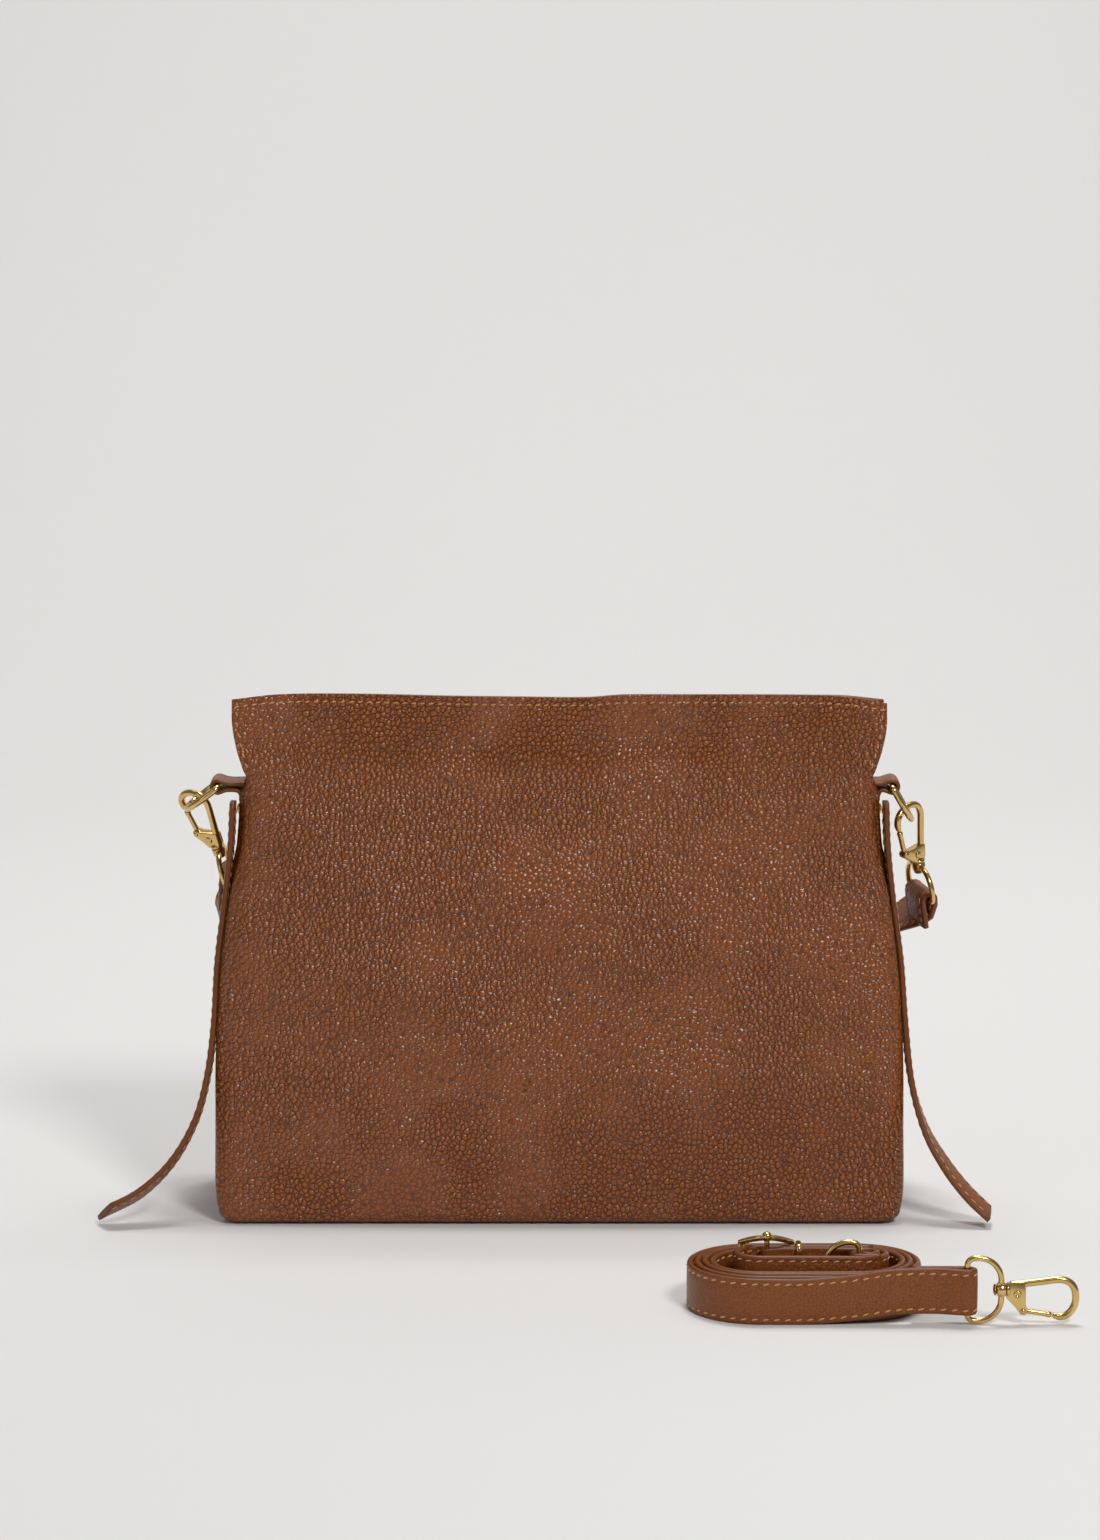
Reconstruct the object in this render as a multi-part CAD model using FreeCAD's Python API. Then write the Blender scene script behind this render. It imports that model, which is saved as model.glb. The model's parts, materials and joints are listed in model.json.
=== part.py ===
import FreeCAD, Part

import math
import os

# Soft leather sling bag with a short shoulder strap clipped to its side rings and a long
# crossbody strap rolled up in front of it. Millimetres, +Z up, front towards -Y, origin at
# the middle of the bag's base, on the surface that it stands on.

V = FreeCAD.Vector
X_AXIS, Y_AXIS, Z_AXIS = V(1, 0, 0), V(0, 1, 0), V(0, 0, 1)

# --- driving dimensions of the bag body ---
LEATHER = 2.4            # panels, gussets and base
FACING = 1.2             # leather band inside the rim
LINING = 0.7             # cotton lining
SEAM_GAP = 0.15          # air left between sewn layers
BAG_TOP = 238.0          # rim
GUSSET_TOP = 203.0       # the panels stand free of the gussets above this
BASE_DEPTH = 100.0
RIM_DEPTH = 26.0
BASE_CORNER = 8.0
PANEL_LEVELS = (2.6, 14, 42, 74, 104, 128, 150, 171, 203, 214, 226, 238)
HALF_WIDTHS = (154.5, 156.3, 156.4, 156.2, 154.6, 152.0, 149.0, 145.0, 144.2, 146.8, 148.6, 148.8)
BELLY = (0, 2, 6, 7, 6, 5, 3, 0, -5.4, -9.4, -7.9, -5.4)
BACK_BELLY_SHARE = 0.8   # the back panel swells less than the front one
BOARD_THICK = 2.0
BOARD_INSET = 5.0
BOARD_CORNER = 3.0
FACING_HEIGHT = 38.0
POCKET = (150.0, 105.0, 1.0)    # width, height, thickness
POCKET_BOTTOM = 62.0
POCKET_ROOM = 4.0               # between the pocket and the back lining
FACING_INSET = 6.0              # facings and linings stay this far in from the side edges
GUSSET_INSET = 1.0              # the gussets' outer faces lie this far inside the panels' edges

# --- magnetic snap ---
SNAP_Z = 220.0
SNAP_R = 7.0
SNAP_CUP = 3.7
SNAP_PLATE = 2.3
SNAP_CUP_FLOOR = 1.0
SNAP_STUD_R = 2.8
SNAP_GAP = 0.3

# --- side rings and their leather tabs ---
RING_WIRE = 1.5
RING_HALF = 11.5         # half the bar's length, and the radius of the ring's bow
RING_LEG = 7.0
RING_CORNER = 2.0
RING_BAR = {"left": (-156.5, 196.0), "right": (152.5, 196.0)}
RING_DROP = {"left": 37.0, "right": 60.0}   # degrees below level
TAB_WIDTH = 18.0
TAB_WALL = 2.2
TAB_LENGTH = 24.0
TAB_RIVET_R, TAB_RIVET_RISE = 3.0, 1.8
TAB_RIVET_Z, TAB_RIVET_Y = 184.0, 4.0
TUNNEL_R = RING_WIRE + 0.3

# --- side ties ---
TIE_WIDTH = 14.0
TIE_THICK = 3.0
TIE_PATH = {    # x, y, z down the middle of each tie, and the lean of its width off level
    "left": ((-149.4, -10.5, 189.5, 0), (-150.4, -11.5, 170, 0), (-153.0, -14, 146, 0),
             (-156.4, -19, 118, 0), (-158.0, -25, 90, 0), (-161.0, -31, 66, 5),
             (-166.5, -37, 46, 12), (-177.0, -43, 28, 20), (-191.0, -48, 14, 25),
             (-207.0, -52, 5.2, 25)),
    "right": ((149.4, -10.5, 189.5, 0), (150.2, -11.5, 170, 0), (152.6, -14, 146, 0),
              (156.2, -19, 118, 0), (158.2, -25, 90, 0), (161.4, -31, 62, -6),
              (167.5, -37, 42, -14), (177.0, -43, 26, -20), (186.5, -47, 14, -20),
              (196.0, -50, 4.6, -18))}

# --- straps ---
STRAP_WIDTH = 20.0
STRAP_THICK = 2.8
FOLD_WALL = 2.4

# --- snap hook, in its own frame: x from the swivel to the tip, y across, z its thickness ---
HOOK_WIRE = 1.6
BOW_R = 7.6
BOW_X, BOW_Y = 20.8, -3.5
NOSE_X = 19.1
BODY_HALF = 2.0
BODY_OUTLINE = ((0.0, -3.2), (0.0, 3.2), (4.6, 5.7), (9.6, 5.7), (9.6, 2.5), (7.8, -1.5),
                (9.2, -6.6), (9.2, -11.6), (4.8, -11.6))
GATE_PIVOT = (6.9, -9.1)
GATE_DISC = 2.3
GATE_TIP = 18.4
GATE_BAR = 1.35
SLOT_X, SLOT_Y, SLOT_HALF = 4.3, -6.0, 1.25
RIVET_R = 0.9
RUNNING = 0.06
POST_R = 1.54
HEAD_R, HEAD_THICK = 2.5, 1.3
EYE_WIRE = 1.3
EYE_NEAR, EYE_FAR, EYE_HALF, EYE_CORNER = -2.3, -16.7, 13.6, 3.0
BOSS_R, BOSS_NEAR, BOSS_FAR = 3.0, -0.3, -4.2
HEAD_X = BOSS_FAR - 0.3
SEAT_X = BOW_X + BOW_R - HOOK_WIRE - RING_WIRE - 0.5   # where a ring's wire hangs in the bow
CLIPPED = {     # degrees round the ring to the back, hook's direction, its face, its eye's width
    "left": (45, V(-0.30, -0.30, 0.905), V(0.56, 0.71, 0.43), V(0.08, 0.98, 0)),
    "right": (25, V(-0.11, -0.22, 0.97), V(-0.70, 0.71, 0), V(-0.3, 0.9, 0))}

# --- rolled crossbody strap ---
COIL_X, COIL_Y = 104.5, -186.8
COIL_LEFT, COIL_RIGHT = -19.5, 21.0                # arc centres, from the coil's middle
TURNS = (29.3, 26.1, 22.9, 19.7, 9.0)              # distance of each turn from the middle line
RAISE = 4.6                                        # strap's lift where its hardware carries it
HOOK_Z = 15.2
TONGUE_END = 30.0
INNER_LINE, BUCKLE_LINE = -2.8, 4.7
INNER_TURN = 27.0
INNER_EYE = 23.5
OUTER_EYE = 67.5
TAIL_STEP = 12.0                                   # from the last bend to the lifted tail
TAIL_RETURN, TAIL_RETURN_GAP = 44.0, 0.3           # the tail's end, folded back behind it
BUCKLE_X = -15.75
BUCKLE_WIRE = 1.2
BUCKLE_HALF, BUCKLE_TALL = 11.0, 27.4              # half its length, and between its side rails
BUCKLE_RISE = 7.4                                  # its end rails stand this far off its bar
BUCKLE_FOLD_WALL = 1.1
PRONG_R = 0.8
PRONG_Z = RAISE + STRAP_WIDTH / 2
PRONG_PATH = ((-1.9, 0.6), (-8.0, 9.4), (-12.3, 9.8))   # from the bar to past the end rail
PRONG_SLEEVE = 3.6
KEEPER_X, KEEPER_WIRE, KEEPER_ROOM = -2.1, 0.8, 0.3


def table(levels, values, z):
    """Value at height z, in straight steps between the levels."""
    for low, high, a, b in zip(levels, levels[1:], values, values[1:]):
        if z <= high:
            return a + (b - a) * max(z - low, 0) / (high - low)
    return values[-1]


def half_width(z):
    return table(PANEL_LEVELS, HALF_WIDTHS, z)


def half_depth(z):
    """Half the bag's depth at its side edges."""
    return (BASE_DEPTH + (RIM_DEPTH - BASE_DEPTH) * z / BAG_TOP) / 2


def skin(x, z, share):
    """Distance of a panel's outer face from the middle plane."""
    swell = table(PANEL_LEVELS, BELLY, z)
    if swell > 0:
        swell *= share
    return half_depth(z) + swell * (1 - (x / half_width(z)) ** 2)


def spline(points):
    curve = Part.BSplineCurve()
    curve.interpolate(points)
    return curve.toShape()


def leaf(side, levels, outer, inner, share=1.0, trim=0.0):
    """Sheet that follows a panel: side is -1 in front and +1 behind, outer and inner are its
    depths inside the panel's outer face, and trim is how far it stays in from the side edges."""
    wires = []
    for z in levels:
        half = half_width(z) - trim
        xs = [half * step / 4 for step in range(-4, 5)]
        far = [V(x, side * (skin(x, z, share) - outer), z) for x in xs]
        near = [V(x, side * (skin(x, z, share) - inner), z) for x in reversed(xs)]
        edges = [spline(far), Part.makeLine(far[-1], near[0]), spline(near),
                 Part.makeLine(near[-1], far[0])]
        wires.append(Part.Wire(edges))
    return Part.makeLoft(wires, True, True)


def side_sheet(side, levels, outer, inner, trim):
    """Sheet that follows a gusset, outer and inner from the panels' side edges."""
    wires = []
    for z in levels:
        x_far, x_near = side * (half_width(z) - outer), side * (half_width(z) - inner)
        y = half_depth(z) - trim
        corners = [V(x_far, -y, z), V(x_far, y, z), V(x_near, y, z), V(x_near, -y, z)]
        wires.append(Part.makePolygon(corners + corners[:1]))
    return Part.makeLoft(wires, True, True)


def rounded_plate(width, depth, thick, z, corner):
    plate = Part.makeBox(width, depth, thick, V(-width / 2, -depth / 2, z))
    upright = [e for e in plate.Edges if abs(e.tangentAt(e.FirstParameter).z) > 0.9]
    return plate.makeFillet(corner, upright)


def panels():
    gusset_levels = [z for z in PANEL_LEVELS if z <= GUSSET_TOP]
    facing_levels = [BAG_TOP - FACING_HEIGHT] + [z for z in PANEL_LEVELS if z > GUSSET_TOP]
    lining_floor = PANEL_LEVELS[0] + BOARD_THICK + LINING + 2 * SEAM_GAP
    lining_levels = [lining_floor] + list(PANEL_LEVELS[1:8]) + [BAG_TOP - FACING_HEIGHT - 1]
    first = LEATHER + SEAM_GAP
    gusset_in = LEATHER + 3 * SEAM_GAP
    parts = {}
    for name, side, share in (("front", -1, 1.0), ("back", 1, BACK_BELLY_SHARE)):
        parts[name + "_panel"] = leaf(side, PANEL_LEVELS, 0, LEATHER, share)
        parts[name + "_facing"] = leaf(side, facing_levels, first, first + FACING, share, FACING_INSET)
        parts[name + "_lining"] = leaf(side, lining_levels, first, first + LINING, share, FACING_INSET)
    for name, side in (("left", -1), ("right", 1)):
        parts[name + "_gusset"] = side_sheet(side, gusset_levels, GUSSET_INSET,
                                             GUSSET_INSET + LEATHER, gusset_in)
        parts[name + "_gusset_lining"] = side_sheet(side, lining_levels, GUSSET_INSET + first,
                                                    GUSSET_INSET + first + LINING, 2 * LEATHER)
    parts["base_panel"] = rounded_plate(2 * HALF_WIDTHS[0], BASE_DEPTH, LEATHER, 0, BASE_CORNER)
    board_z = PANEL_LEVELS[0]
    width, depth = 2 * (HALF_WIDTHS[0] - BOARD_INSET), BASE_DEPTH - 2 * BOARD_INSET
    parts["base_board"] = rounded_plate(width, depth, BOARD_THICK, board_z, BOARD_CORNER)
    lining_z = board_z + BOARD_THICK + SEAM_GAP
    parts["base_lining"] = rounded_plate(width, depth, LINING, lining_z, BOARD_CORNER)
    return parts


def pocket():
    """Slip pocket sewn to the back lining, open at the top."""
    width, height, thick = POCKET
    depth = LEATHER + LINING + 2 * SEAM_GAP
    wires = []
    for z in (POCKET_BOTTOM, POCKET_BOTTOM + height / 2, POCKET_BOTTOM + height):
        y = skin(0, z, BACK_BELLY_SHARE) - depth - POCKET_ROOM
        corners = [V(-width / 2, y - thick, z), V(width / 2, y - thick, z),
                   V(width / 2, y, z), V(-width / 2, y, z)]
        wires.append(Part.makePolygon(corners + corners[:1]))
    return {"inner_pocket": Part.makeLoft(wires, True, True)}


def snap():
    """Magnetic snap: a cup on the front facing and a plate with a stud on the back one."""
    def disc(radius, thick, y):
        return Part.makeCylinder(radius, thick, V(0, y, SNAP_Z), Y_AXIS)

    cup_y = -(SNAP_CUP + SNAP_PLATE + SNAP_GAP) / 2
    plate_y = cup_y + SNAP_CUP + SNAP_GAP
    well = disc(SNAP_STUD_R + SNAP_GAP, SNAP_CUP, cup_y + SNAP_CUP_FLOOR)
    cup = disc(SNAP_R, SNAP_CUP, cup_y).cut(well)
    stud_length = SNAP_CUP - SNAP_CUP_FLOOR
    stud = disc(SNAP_STUD_R, stud_length, plate_y - stud_length)
    plate = disc(SNAP_R, SNAP_PLATE, plate_y).fuse(stud)
    return {"snap_cup": cup, "snap_stud": plate}


def frame_from(origin, along, normal):
    """Placement whose x runs along a direction and whose z is as near as can be to a normal."""
    x = V(along).normalize()
    z = V(normal) - x * V(normal).dot(x)
    z.normalize()
    y = z.cross(x)
    matrix = FreeCAD.Matrix(x.x, y.x, z.x, origin.x, x.y, y.y, z.y, origin.y,
                            x.z, y.z, z.z, origin.z, 0, 0, 0, 1)
    return FreeCAD.Placement(matrix)


def placed(shape, placement):
    copy = shape.copy()
    copy.Placement = placement.multiply(copy.Placement)
    return copy


def pipe(edges, radius):
    """Round wire along a path of lines and tangent arcs."""
    path = Part.Wire(edges)
    start = path.Edges[0]
    tangent = start.tangentAt(start.FirstParameter)
    ring = Part.Wire(Part.Circle(start.valueAt(start.FirstParameter), tangent, radius).toShape())
    return path.makePipeShell([ring], True, False)


def arc(centre, radius, start, end):
    """Arc in the xy plane, angles in degrees."""
    def at(angle):
        a = math.radians(angle)
        return centre + V(radius * math.cos(a), radius * math.sin(a), 0)
    return Part.Arc(at(start), at((start + end) / 2), at(end)).toShape()


def rounded_loop(x0, x1, half, corner, radius):
    """Closed wire loop in the xy plane, from x0 to x1 and as far as half to each side."""
    edges = [Part.makeLine(V(x0, -half + corner, 0), V(x0, half - corner, 0)),
             arc(V(x0 + corner, half - corner, 0), corner, 180, 90),
             Part.makeLine(V(x0 + corner, half, 0), V(x1 - corner, half, 0)),
             arc(V(x1 - corner, half - corner, 0), corner, 90, 0),
             Part.makeLine(V(x1, half - corner, 0), V(x1, -half + corner, 0)),
             arc(V(x1 - corner, -half + corner, 0), corner, 0, -90),
             Part.makeLine(V(x1 - corner, -half, 0), V(x0 + corner, -half, 0)),
             arc(V(x0 + corner, -half + corner, 0), corner, -90, -180)]
    return pipe(edges, radius)


def ring_frame(side):
    """The ring's own frame: origin on the bar, x out towards the bow, y along the bar."""
    x, z = RING_BAR[side]
    drop = math.radians(RING_DROP[side])
    out = V(math.copysign(math.cos(drop), x), 0, -math.sin(drop))
    normal = out.cross(Y_AXIS)
    return frame_from(V(x, 0, z), out, normal)


def ring(side):
    bow = arc(V(RING_LEG, 0, 0), RING_HALF, 90, -90)
    c = RING_CORNER
    edges = [Part.makeLine(V(0, c - RING_HALF, 0), V(0, RING_HALF - c, 0)),
             arc(V(c, RING_HALF - c, 0), c, 180, 90),
             Part.makeLine(V(c, RING_HALF, 0), V(RING_LEG, RING_HALF, 0)), bow,
             Part.makeLine(V(RING_LEG, -RING_HALF, 0), V(c, -RING_HALF, 0)),
             arc(V(c, c - RING_HALF, 0), c, -90, -180)]
    return placed(pipe(edges, RING_WIRE), ring_frame(side))


def tab_face(sign, z):
    """Where a tab's leg starts, just outside the gusset."""
    return sign * (half_width(z) - GUSSET_INSET + SEAM_GAP)


def tab(side):
    """Leather strip folded over the ring's bar, its lower leg sewn flat on the gusset."""
    x, z = RING_BAR[side]
    sign = math.copysign(1, x)
    radius = TUNNEL_R + TAB_WALL
    inner = tab_face(sign, z + radius - TAB_LENGTH)
    low, high = sorted((inner, x))
    flap = Part.makeBox(high - low, TAB_WIDTH, TAB_WALL,
                        V(low, -TAB_WIDTH / 2, z + radius - TAB_WALL))
    low, high = sorted((inner, inner + sign * TAB_WALL))
    leg = Part.makeBox(high - low, TAB_WIDTH, TAB_LENGTH,
                       V(low, -TAB_WIDTH / 2, z + radius - TAB_LENGTH))
    sleeve = Part.makeCylinder(radius, TAB_WIDTH, V(x, -TAB_WIDTH / 2, z), Y_AXIS)
    tunnel = Part.makeCylinder(TUNNEL_R, TAB_WIDTH, V(x, -TAB_WIDTH / 2, z), Y_AXIS)
    return flap.fuse([leg, sleeve]).cut(tunnel).removeSplitter()


def tab_rivets():
    """One domed rivet through each tab's leg."""
    rivets = []
    for side, sign in (("left", -1), ("right", 1)):
        bottom = RING_BAR[side][1] + TUNNEL_R + TAB_WALL - TAB_LENGTH
        x = tab_face(sign, bottom) + sign * (TAB_WALL + 0.05)
        start = V(x, TAB_RIVET_Y, TAB_RIVET_Z)
        rivets.append(Part.makeCone(TAB_RIVET_R, TAB_RIVET_R * 0.55, TAB_RIVET_RISE, start, X_AXIS * sign))
    return Part.makeCompound(rivets)


def hook_bow():
    top = BOW_Y + BOW_R
    edges = [Part.makeLine(V(5, top, 0), V(BOW_X, top, 0)),
             arc(V(BOW_X, BOW_Y, 0), BOW_R, 90, -90),
             Part.makeLine(V(BOW_X, BOW_Y - BOW_R, 0), V(NOSE_X, BOW_Y - BOW_R, 0))]
    return pipe(edges, HOOK_WIRE)


def hook_body():
    """Cast hook: cheeks, bow, and the swivel post with its peened head."""
    outline = [V(x, y, -BODY_HALF) for x, y in BODY_OUTLINE]
    cheek = Part.Face(Part.makePolygon(outline + outline[:1])).extrude(V(0, 0, 2 * BODY_HALF))
    slot = Part.makeBox(8, 8, 2 * SLOT_HALF, V(SLOT_X, SLOT_Y - 8, -SLOT_HALF))
    hole = Part.makeCylinder(RIVET_R, 8, V(*GATE_PIVOT, -4), Z_AXIS)
    post = Part.makeCylinder(POST_R, -HEAD_X + 0.1, V(HEAD_X - 0.1, 0, 0), X_AXIS)
    head = Part.makeCone(HEAD_R * 0.6, HEAD_R, HEAD_THICK, V(HEAD_X - HEAD_THICK, 0, 0), X_AXIS)
    return cheek.cut(slot).cut(hole).fuse([hook_bow(), post, head])


def hook_gate():
    """Bar that closes the bow, with a tongue on the rivet."""
    px, py = GATE_PIVOT
    disc = Part.makeCylinder(GATE_DISC, SLOT_HALF + 0.05, V(px, py, 0.1 - SLOT_HALF), Z_AXIS)
    neck = Part.makeBox(4.0, 2.6, SLOT_HALF + 0.05, V(px, BOW_Y - BOW_R - GATE_BAR, 0.1 - SLOT_HALF))
    bar = Part.makeCylinder(GATE_BAR, GATE_TIP - px - 3.2, V(px + 3.2, BOW_Y - BOW_R, 0), X_AXIS)
    hole = Part.makeCylinder(RIVET_R + RUNNING, 8, V(px, py, -4), Z_AXIS)
    return disc.fuse([neck, bar]).cut(hole).removeSplitter()


def hook_rivet():
    return Part.makeCylinder(RIVET_R, 2 * BODY_HALF + 0.6, V(*GATE_PIVOT, -BODY_HALF - 0.3), Z_AXIS)


def hook_spring():
    """Torsion spring of the gate, as the sleeve that its turns fill."""
    start, length = V(*GATE_PIVOT, 0.3), SLOT_HALF - 0.4
    sleeve = Part.makeCylinder(RIVET_R + 0.8, length, start, Z_AXIS)
    return sleeve.cut(Part.makeCylinder(RIVET_R + 0.2, length, start, Z_AXIS))


def hook_eye():
    loop = rounded_loop(EYE_FAR, EYE_NEAR, EYE_HALF, EYE_CORNER, EYE_WIRE)
    boss = Part.makeCylinder(BOSS_R, BOSS_NEAR - BOSS_FAR, V(BOSS_FAR, 0, 0), X_AXIS)
    bore = Part.makeCylinder(POST_R + RUNNING, 8, V(BOSS_FAR - 2, 0, 0), X_AXIS)
    return loop.fuse(boss).cut(bore)


def coil_point(x, y, z):
    return V(COIL_X + x, COIL_Y + y, z)


def hook_frames():
    """Each hook's place: where its swivel is, which way it points, and its faces' normal."""
    frames = {}
    for side, (turn, along, normal, across) in CLIPPED.items():
        a = math.radians(turn)
        seat = ring_frame(side).multVec(V(RING_LEG + RING_HALF * math.cos(a),
                                          RING_HALF * math.sin(a), 0))
        turned = frame_from(V(0, 0, 0), along, normal)
        origin = seat - turned.multVec(V(SEAT_X, BOW_Y, 0))
        eye_normal = along.cross(across)
        frames[side] = (frame_from(origin, along, normal), frame_from(origin, along, eye_normal), seat)
    inner = coil_point(INNER_EYE + EYE_FAR, INNER_LINE, HOOK_Z)
    outer = coil_point(OUTER_EYE - EYE_FAR, -TURNS[0], HOOK_Z)
    frames["inner"] = (frame_from(inner, -X_AXIS, Y_AXIS), frame_from(inner, -X_AXIS, Y_AXIS), inner)
    frames["outer"] = (frame_from(outer, X_AXIS, -Y_AXIS), frame_from(outer, X_AXIS, -Y_AXIS), outer)
    return frames


def hooks():
    makers = {"hook": hook_body(), "gate": hook_gate(), "gate_rivet": hook_rivet(),
              "gate_spring": hook_spring()}
    eye = hook_eye()
    parts = {}
    for place, (frame, eye_frame, _) in hook_frames().items():
        for piece, shape in makers.items():
            parts[place + "_" + piece] = placed(shape, frame)
        parts[place + "_eye"] = placed(eye, eye_frame)
    return parts


def ribbon(stations, width, thick, per_span=6):
    """Flat strip along a smooth curve. Each station is a point and the direction its width runs."""
    curve = Part.BSplineCurve()
    curve.interpolate([point for point, _ in stations])
    knots = [curve.parameter(point) for point, _ in stations]
    wires = []
    for index in range((len(stations) - 1) * per_span + 1):
        span, step = divmod(index, per_span)
        span, step = (span, step) if span < len(stations) - 1 else (span - 1, per_span)
        t = step / per_span
        at = knots[span] + (knots[span + 1] - knots[span]) * t
        centre, tangent = curve.value(at), V(*curve.tangent(at)[0])
        across = stations[span][1] * (1 - t) + stations[span + 1][1] * t
        across = across - tangent * across.dot(tangent)
        across.normalize()
        through = tangent.cross(across) * (thick / 2)
        side = across * (width / 2)
        corners = [centre + side + through, centre - side + through,
                   centre - side - through, centre + side - through]
        wires.append(Part.makePolygon(corners + corners[:1]))
    return Part.makeLoft(wires, True, True)


def fold(centre, axis, width):
    """Strap folded round a bar: the sleeve, and the hole to cut for the bar."""
    start = centre - axis * (width / 2)
    sleeve = Part.makeCylinder(EYE_WIRE + 0.3 + FOLD_WALL, width, start, axis)
    hole = Part.makeCylinder(EYE_WIRE + 0.3, width + 8, start - axis * 4, axis)
    return sleeve, hole


def shoulder_strap():
    """Short strap that hangs behind the bag between the two side hooks."""
    frames = hook_frames()
    stations, sleeves, holes = [], [], []
    for side, sign in (("left", -1), ("right", 1)):
        eye = frames[side][1]
        bar = eye.multVec(V(EYE_FAR, 0, 0))
        axis = eye.Rotation.multVec(Y_AXIS)
        if axis.y < 0:
            axis = -axis
        sleeve, hole = fold(bar, axis, STRAP_WIDTH)
        sleeves.append(sleeve)
        holes.append(hole)
        half = [(bar, axis),
                (bar + V(0.5 * sign, 5, -9), axis),
                (V(158 * sign, 38, 126), V(0.25 * sign, 0.6, 0.6)),
                (V(145 * sign, 52, 109), V(0.15 * sign, 0.2, 0.9)),
                (V(112 * sign, 60, 88), V(0.25 * sign, 0, 0.95)),
                (V(60 * sign, 65, 68), V(0.25 * sign, 0, 1))]
        if sign < 0:
            stations += half + [(V(0, 66.5, 61), Z_AXIS)]
        else:
            stations += reversed(half)
    strip = ribbon(stations, STRAP_WIDTH, STRAP_THICK)
    return strip.fuse(sleeves).cut(holes[0]).cut(holes[1])


def tie(side):
    """Long thin tie, sewn on below the ring, that curves out and down to the surface."""
    stations = []
    for x, y, z, lean in TIE_PATH[side]:
        a = math.radians(lean)
        stations.append((V(x, y, z), V(0, math.cos(a), -math.sin(a))))
    return ribbon(stations, TIE_WIDTH, TIE_THICK, 3)


def wall(x0, x1, y, z0):
    """Upright strip along a straight run, on the coil's own x and y."""
    corner = coil_point(x0, y - STRAP_THICK / 2, z0)
    return Part.makeBox(x1 - x0, STRAP_THICK, STRAP_WIDTH, corner)


def bend(x, y_a, y_b, side, z0):
    """Upright strip round a half circle between two lines, closed to the left or the right."""
    radius = abs(y_b - y_a) / 2
    start = 90 if side == "left" else -90

    def half_disc(r):
        shape = Part.makeCylinder(r, STRAP_WIDTH, V(0, 0, 0), Z_AXIS, 180)
        shape.rotate(V(0, 0, 0), Z_AXIS, start)
        shape.translate(coil_point(x, (y_a + y_b) / 2, z0))
        return shape
    return half_disc(radius + STRAP_THICK / 2).cut(half_disc(radius - STRAP_THICK / 2))


def prong_slot():
    """Opening through the strap layers for the buckle's prong."""
    height = PRONG_SLEEVE + 0.8
    return Part.makeBox(13.5, 12, height, coil_point(BUCKLE_X - 10, BUCKLE_LINE - 4, PRONG_Z - height / 2))


def crossbody_strap():
    """Long strap, rolled from its tongue in the middle out to the hook at its outer end."""
    pieces = []
    last = len(TURNS) - 1
    for index, line in enumerate(TURNS):
        z0, end = (RAISE, TONGUE_END) if index == last else (0.0, COIL_RIGHT)
        pieces.append(wall(COIL_LEFT, COIL_RIGHT, -line, z0))
        pieces.append(bend(COIL_LEFT, -line, line, "left", z0))
        pieces.append(wall(COIL_LEFT, end, line, z0))
        if index < last:
            pieces.append(bend(COIL_RIGHT, line, -TURNS[index + 1], "right", z0))
    step = COIL_RIGHT + TAIL_STEP
    front = -TURNS[0]
    pieces.append(wall(COIL_RIGHT, step, front, 0.0))
    pieces.append(wall(step, OUTER_EYE, front, RAISE))
    pieces.append(wall(TAIL_RETURN, OUTER_EYE, front + STRAP_THICK + TAIL_RETURN_GAP, RAISE))
    bar = coil_point(OUTER_EYE, front, RAISE + STRAP_WIDTH / 2)
    sleeve, hole = fold(bar, Z_AXIS, STRAP_WIDTH)
    pieces.append(sleeve)
    return pieces[0].fuse(pieces[1:]).cut(hole).cut(prong_slot()).removeSplitter()


def buckle_strap():
    """Short strap between the inner hook and the buckle, folded round both."""
    pieces = [wall(INNER_EYE, INNER_TURN, INNER_LINE, RAISE),
              bend(INNER_TURN, INNER_LINE, BUCKLE_LINE, "right", RAISE),
              wall(BUCKLE_X, INNER_TURN, BUCKLE_LINE, RAISE)]
    holes = []
    for x, y, wire, sleeve_wall in ((INNER_EYE, INNER_LINE, EYE_WIRE, FOLD_WALL),
                                    (BUCKLE_X, BUCKLE_LINE, BUCKLE_WIRE, BUCKLE_FOLD_WALL)):
        base = coil_point(x, y, RAISE)
        pieces.append(Part.makeCylinder(wire + 0.3 + sleeve_wall, STRAP_WIDTH, base, Z_AXIS))
        holes.append(Part.makeCylinder(wire + 0.3, STRAP_WIDTH + 2, base - Z_AXIS, Z_AXIS))
    strap = pieces[0].fuse(pieces[1:]).cut(holes[0]).cut(holes[1])
    return strap.cut(prong_slot()).removeSplitter()


def buckle_frame():
    """Centre-bar buckle whose side rails arch between its end rails."""
    pieces = []
    half_tall = BUCKLE_TALL / 2
    for z in (HOOK_Z - half_tall, HOOK_Z + half_tall):
        ends = [coil_point(BUCKLE_X + sign * BUCKLE_HALF, BUCKLE_LINE + BUCKLE_RISE, z) for sign in (-1, 1)]
        middle = coil_point(BUCKLE_X, BUCKLE_LINE, z)
        pieces.append(pipe([Part.Arc(ends[0], middle, ends[1]).toShape()], BUCKLE_WIRE))
        pieces += [Part.makeSphere(BUCKLE_WIRE * 1.05, end) for end in ends]
    for x, y in ((-BUCKLE_HALF, BUCKLE_RISE), (0, 0), (BUCKLE_HALF, BUCKLE_RISE)):
        base = coil_point(BUCKLE_X + x, BUCKLE_LINE + y, HOOK_Z - half_tall)
        pieces.append(Part.makeCylinder(BUCKLE_WIRE, BUCKLE_TALL, base, Z_AXIS))
    return pieces[0].fuse(pieces[1:])


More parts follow.
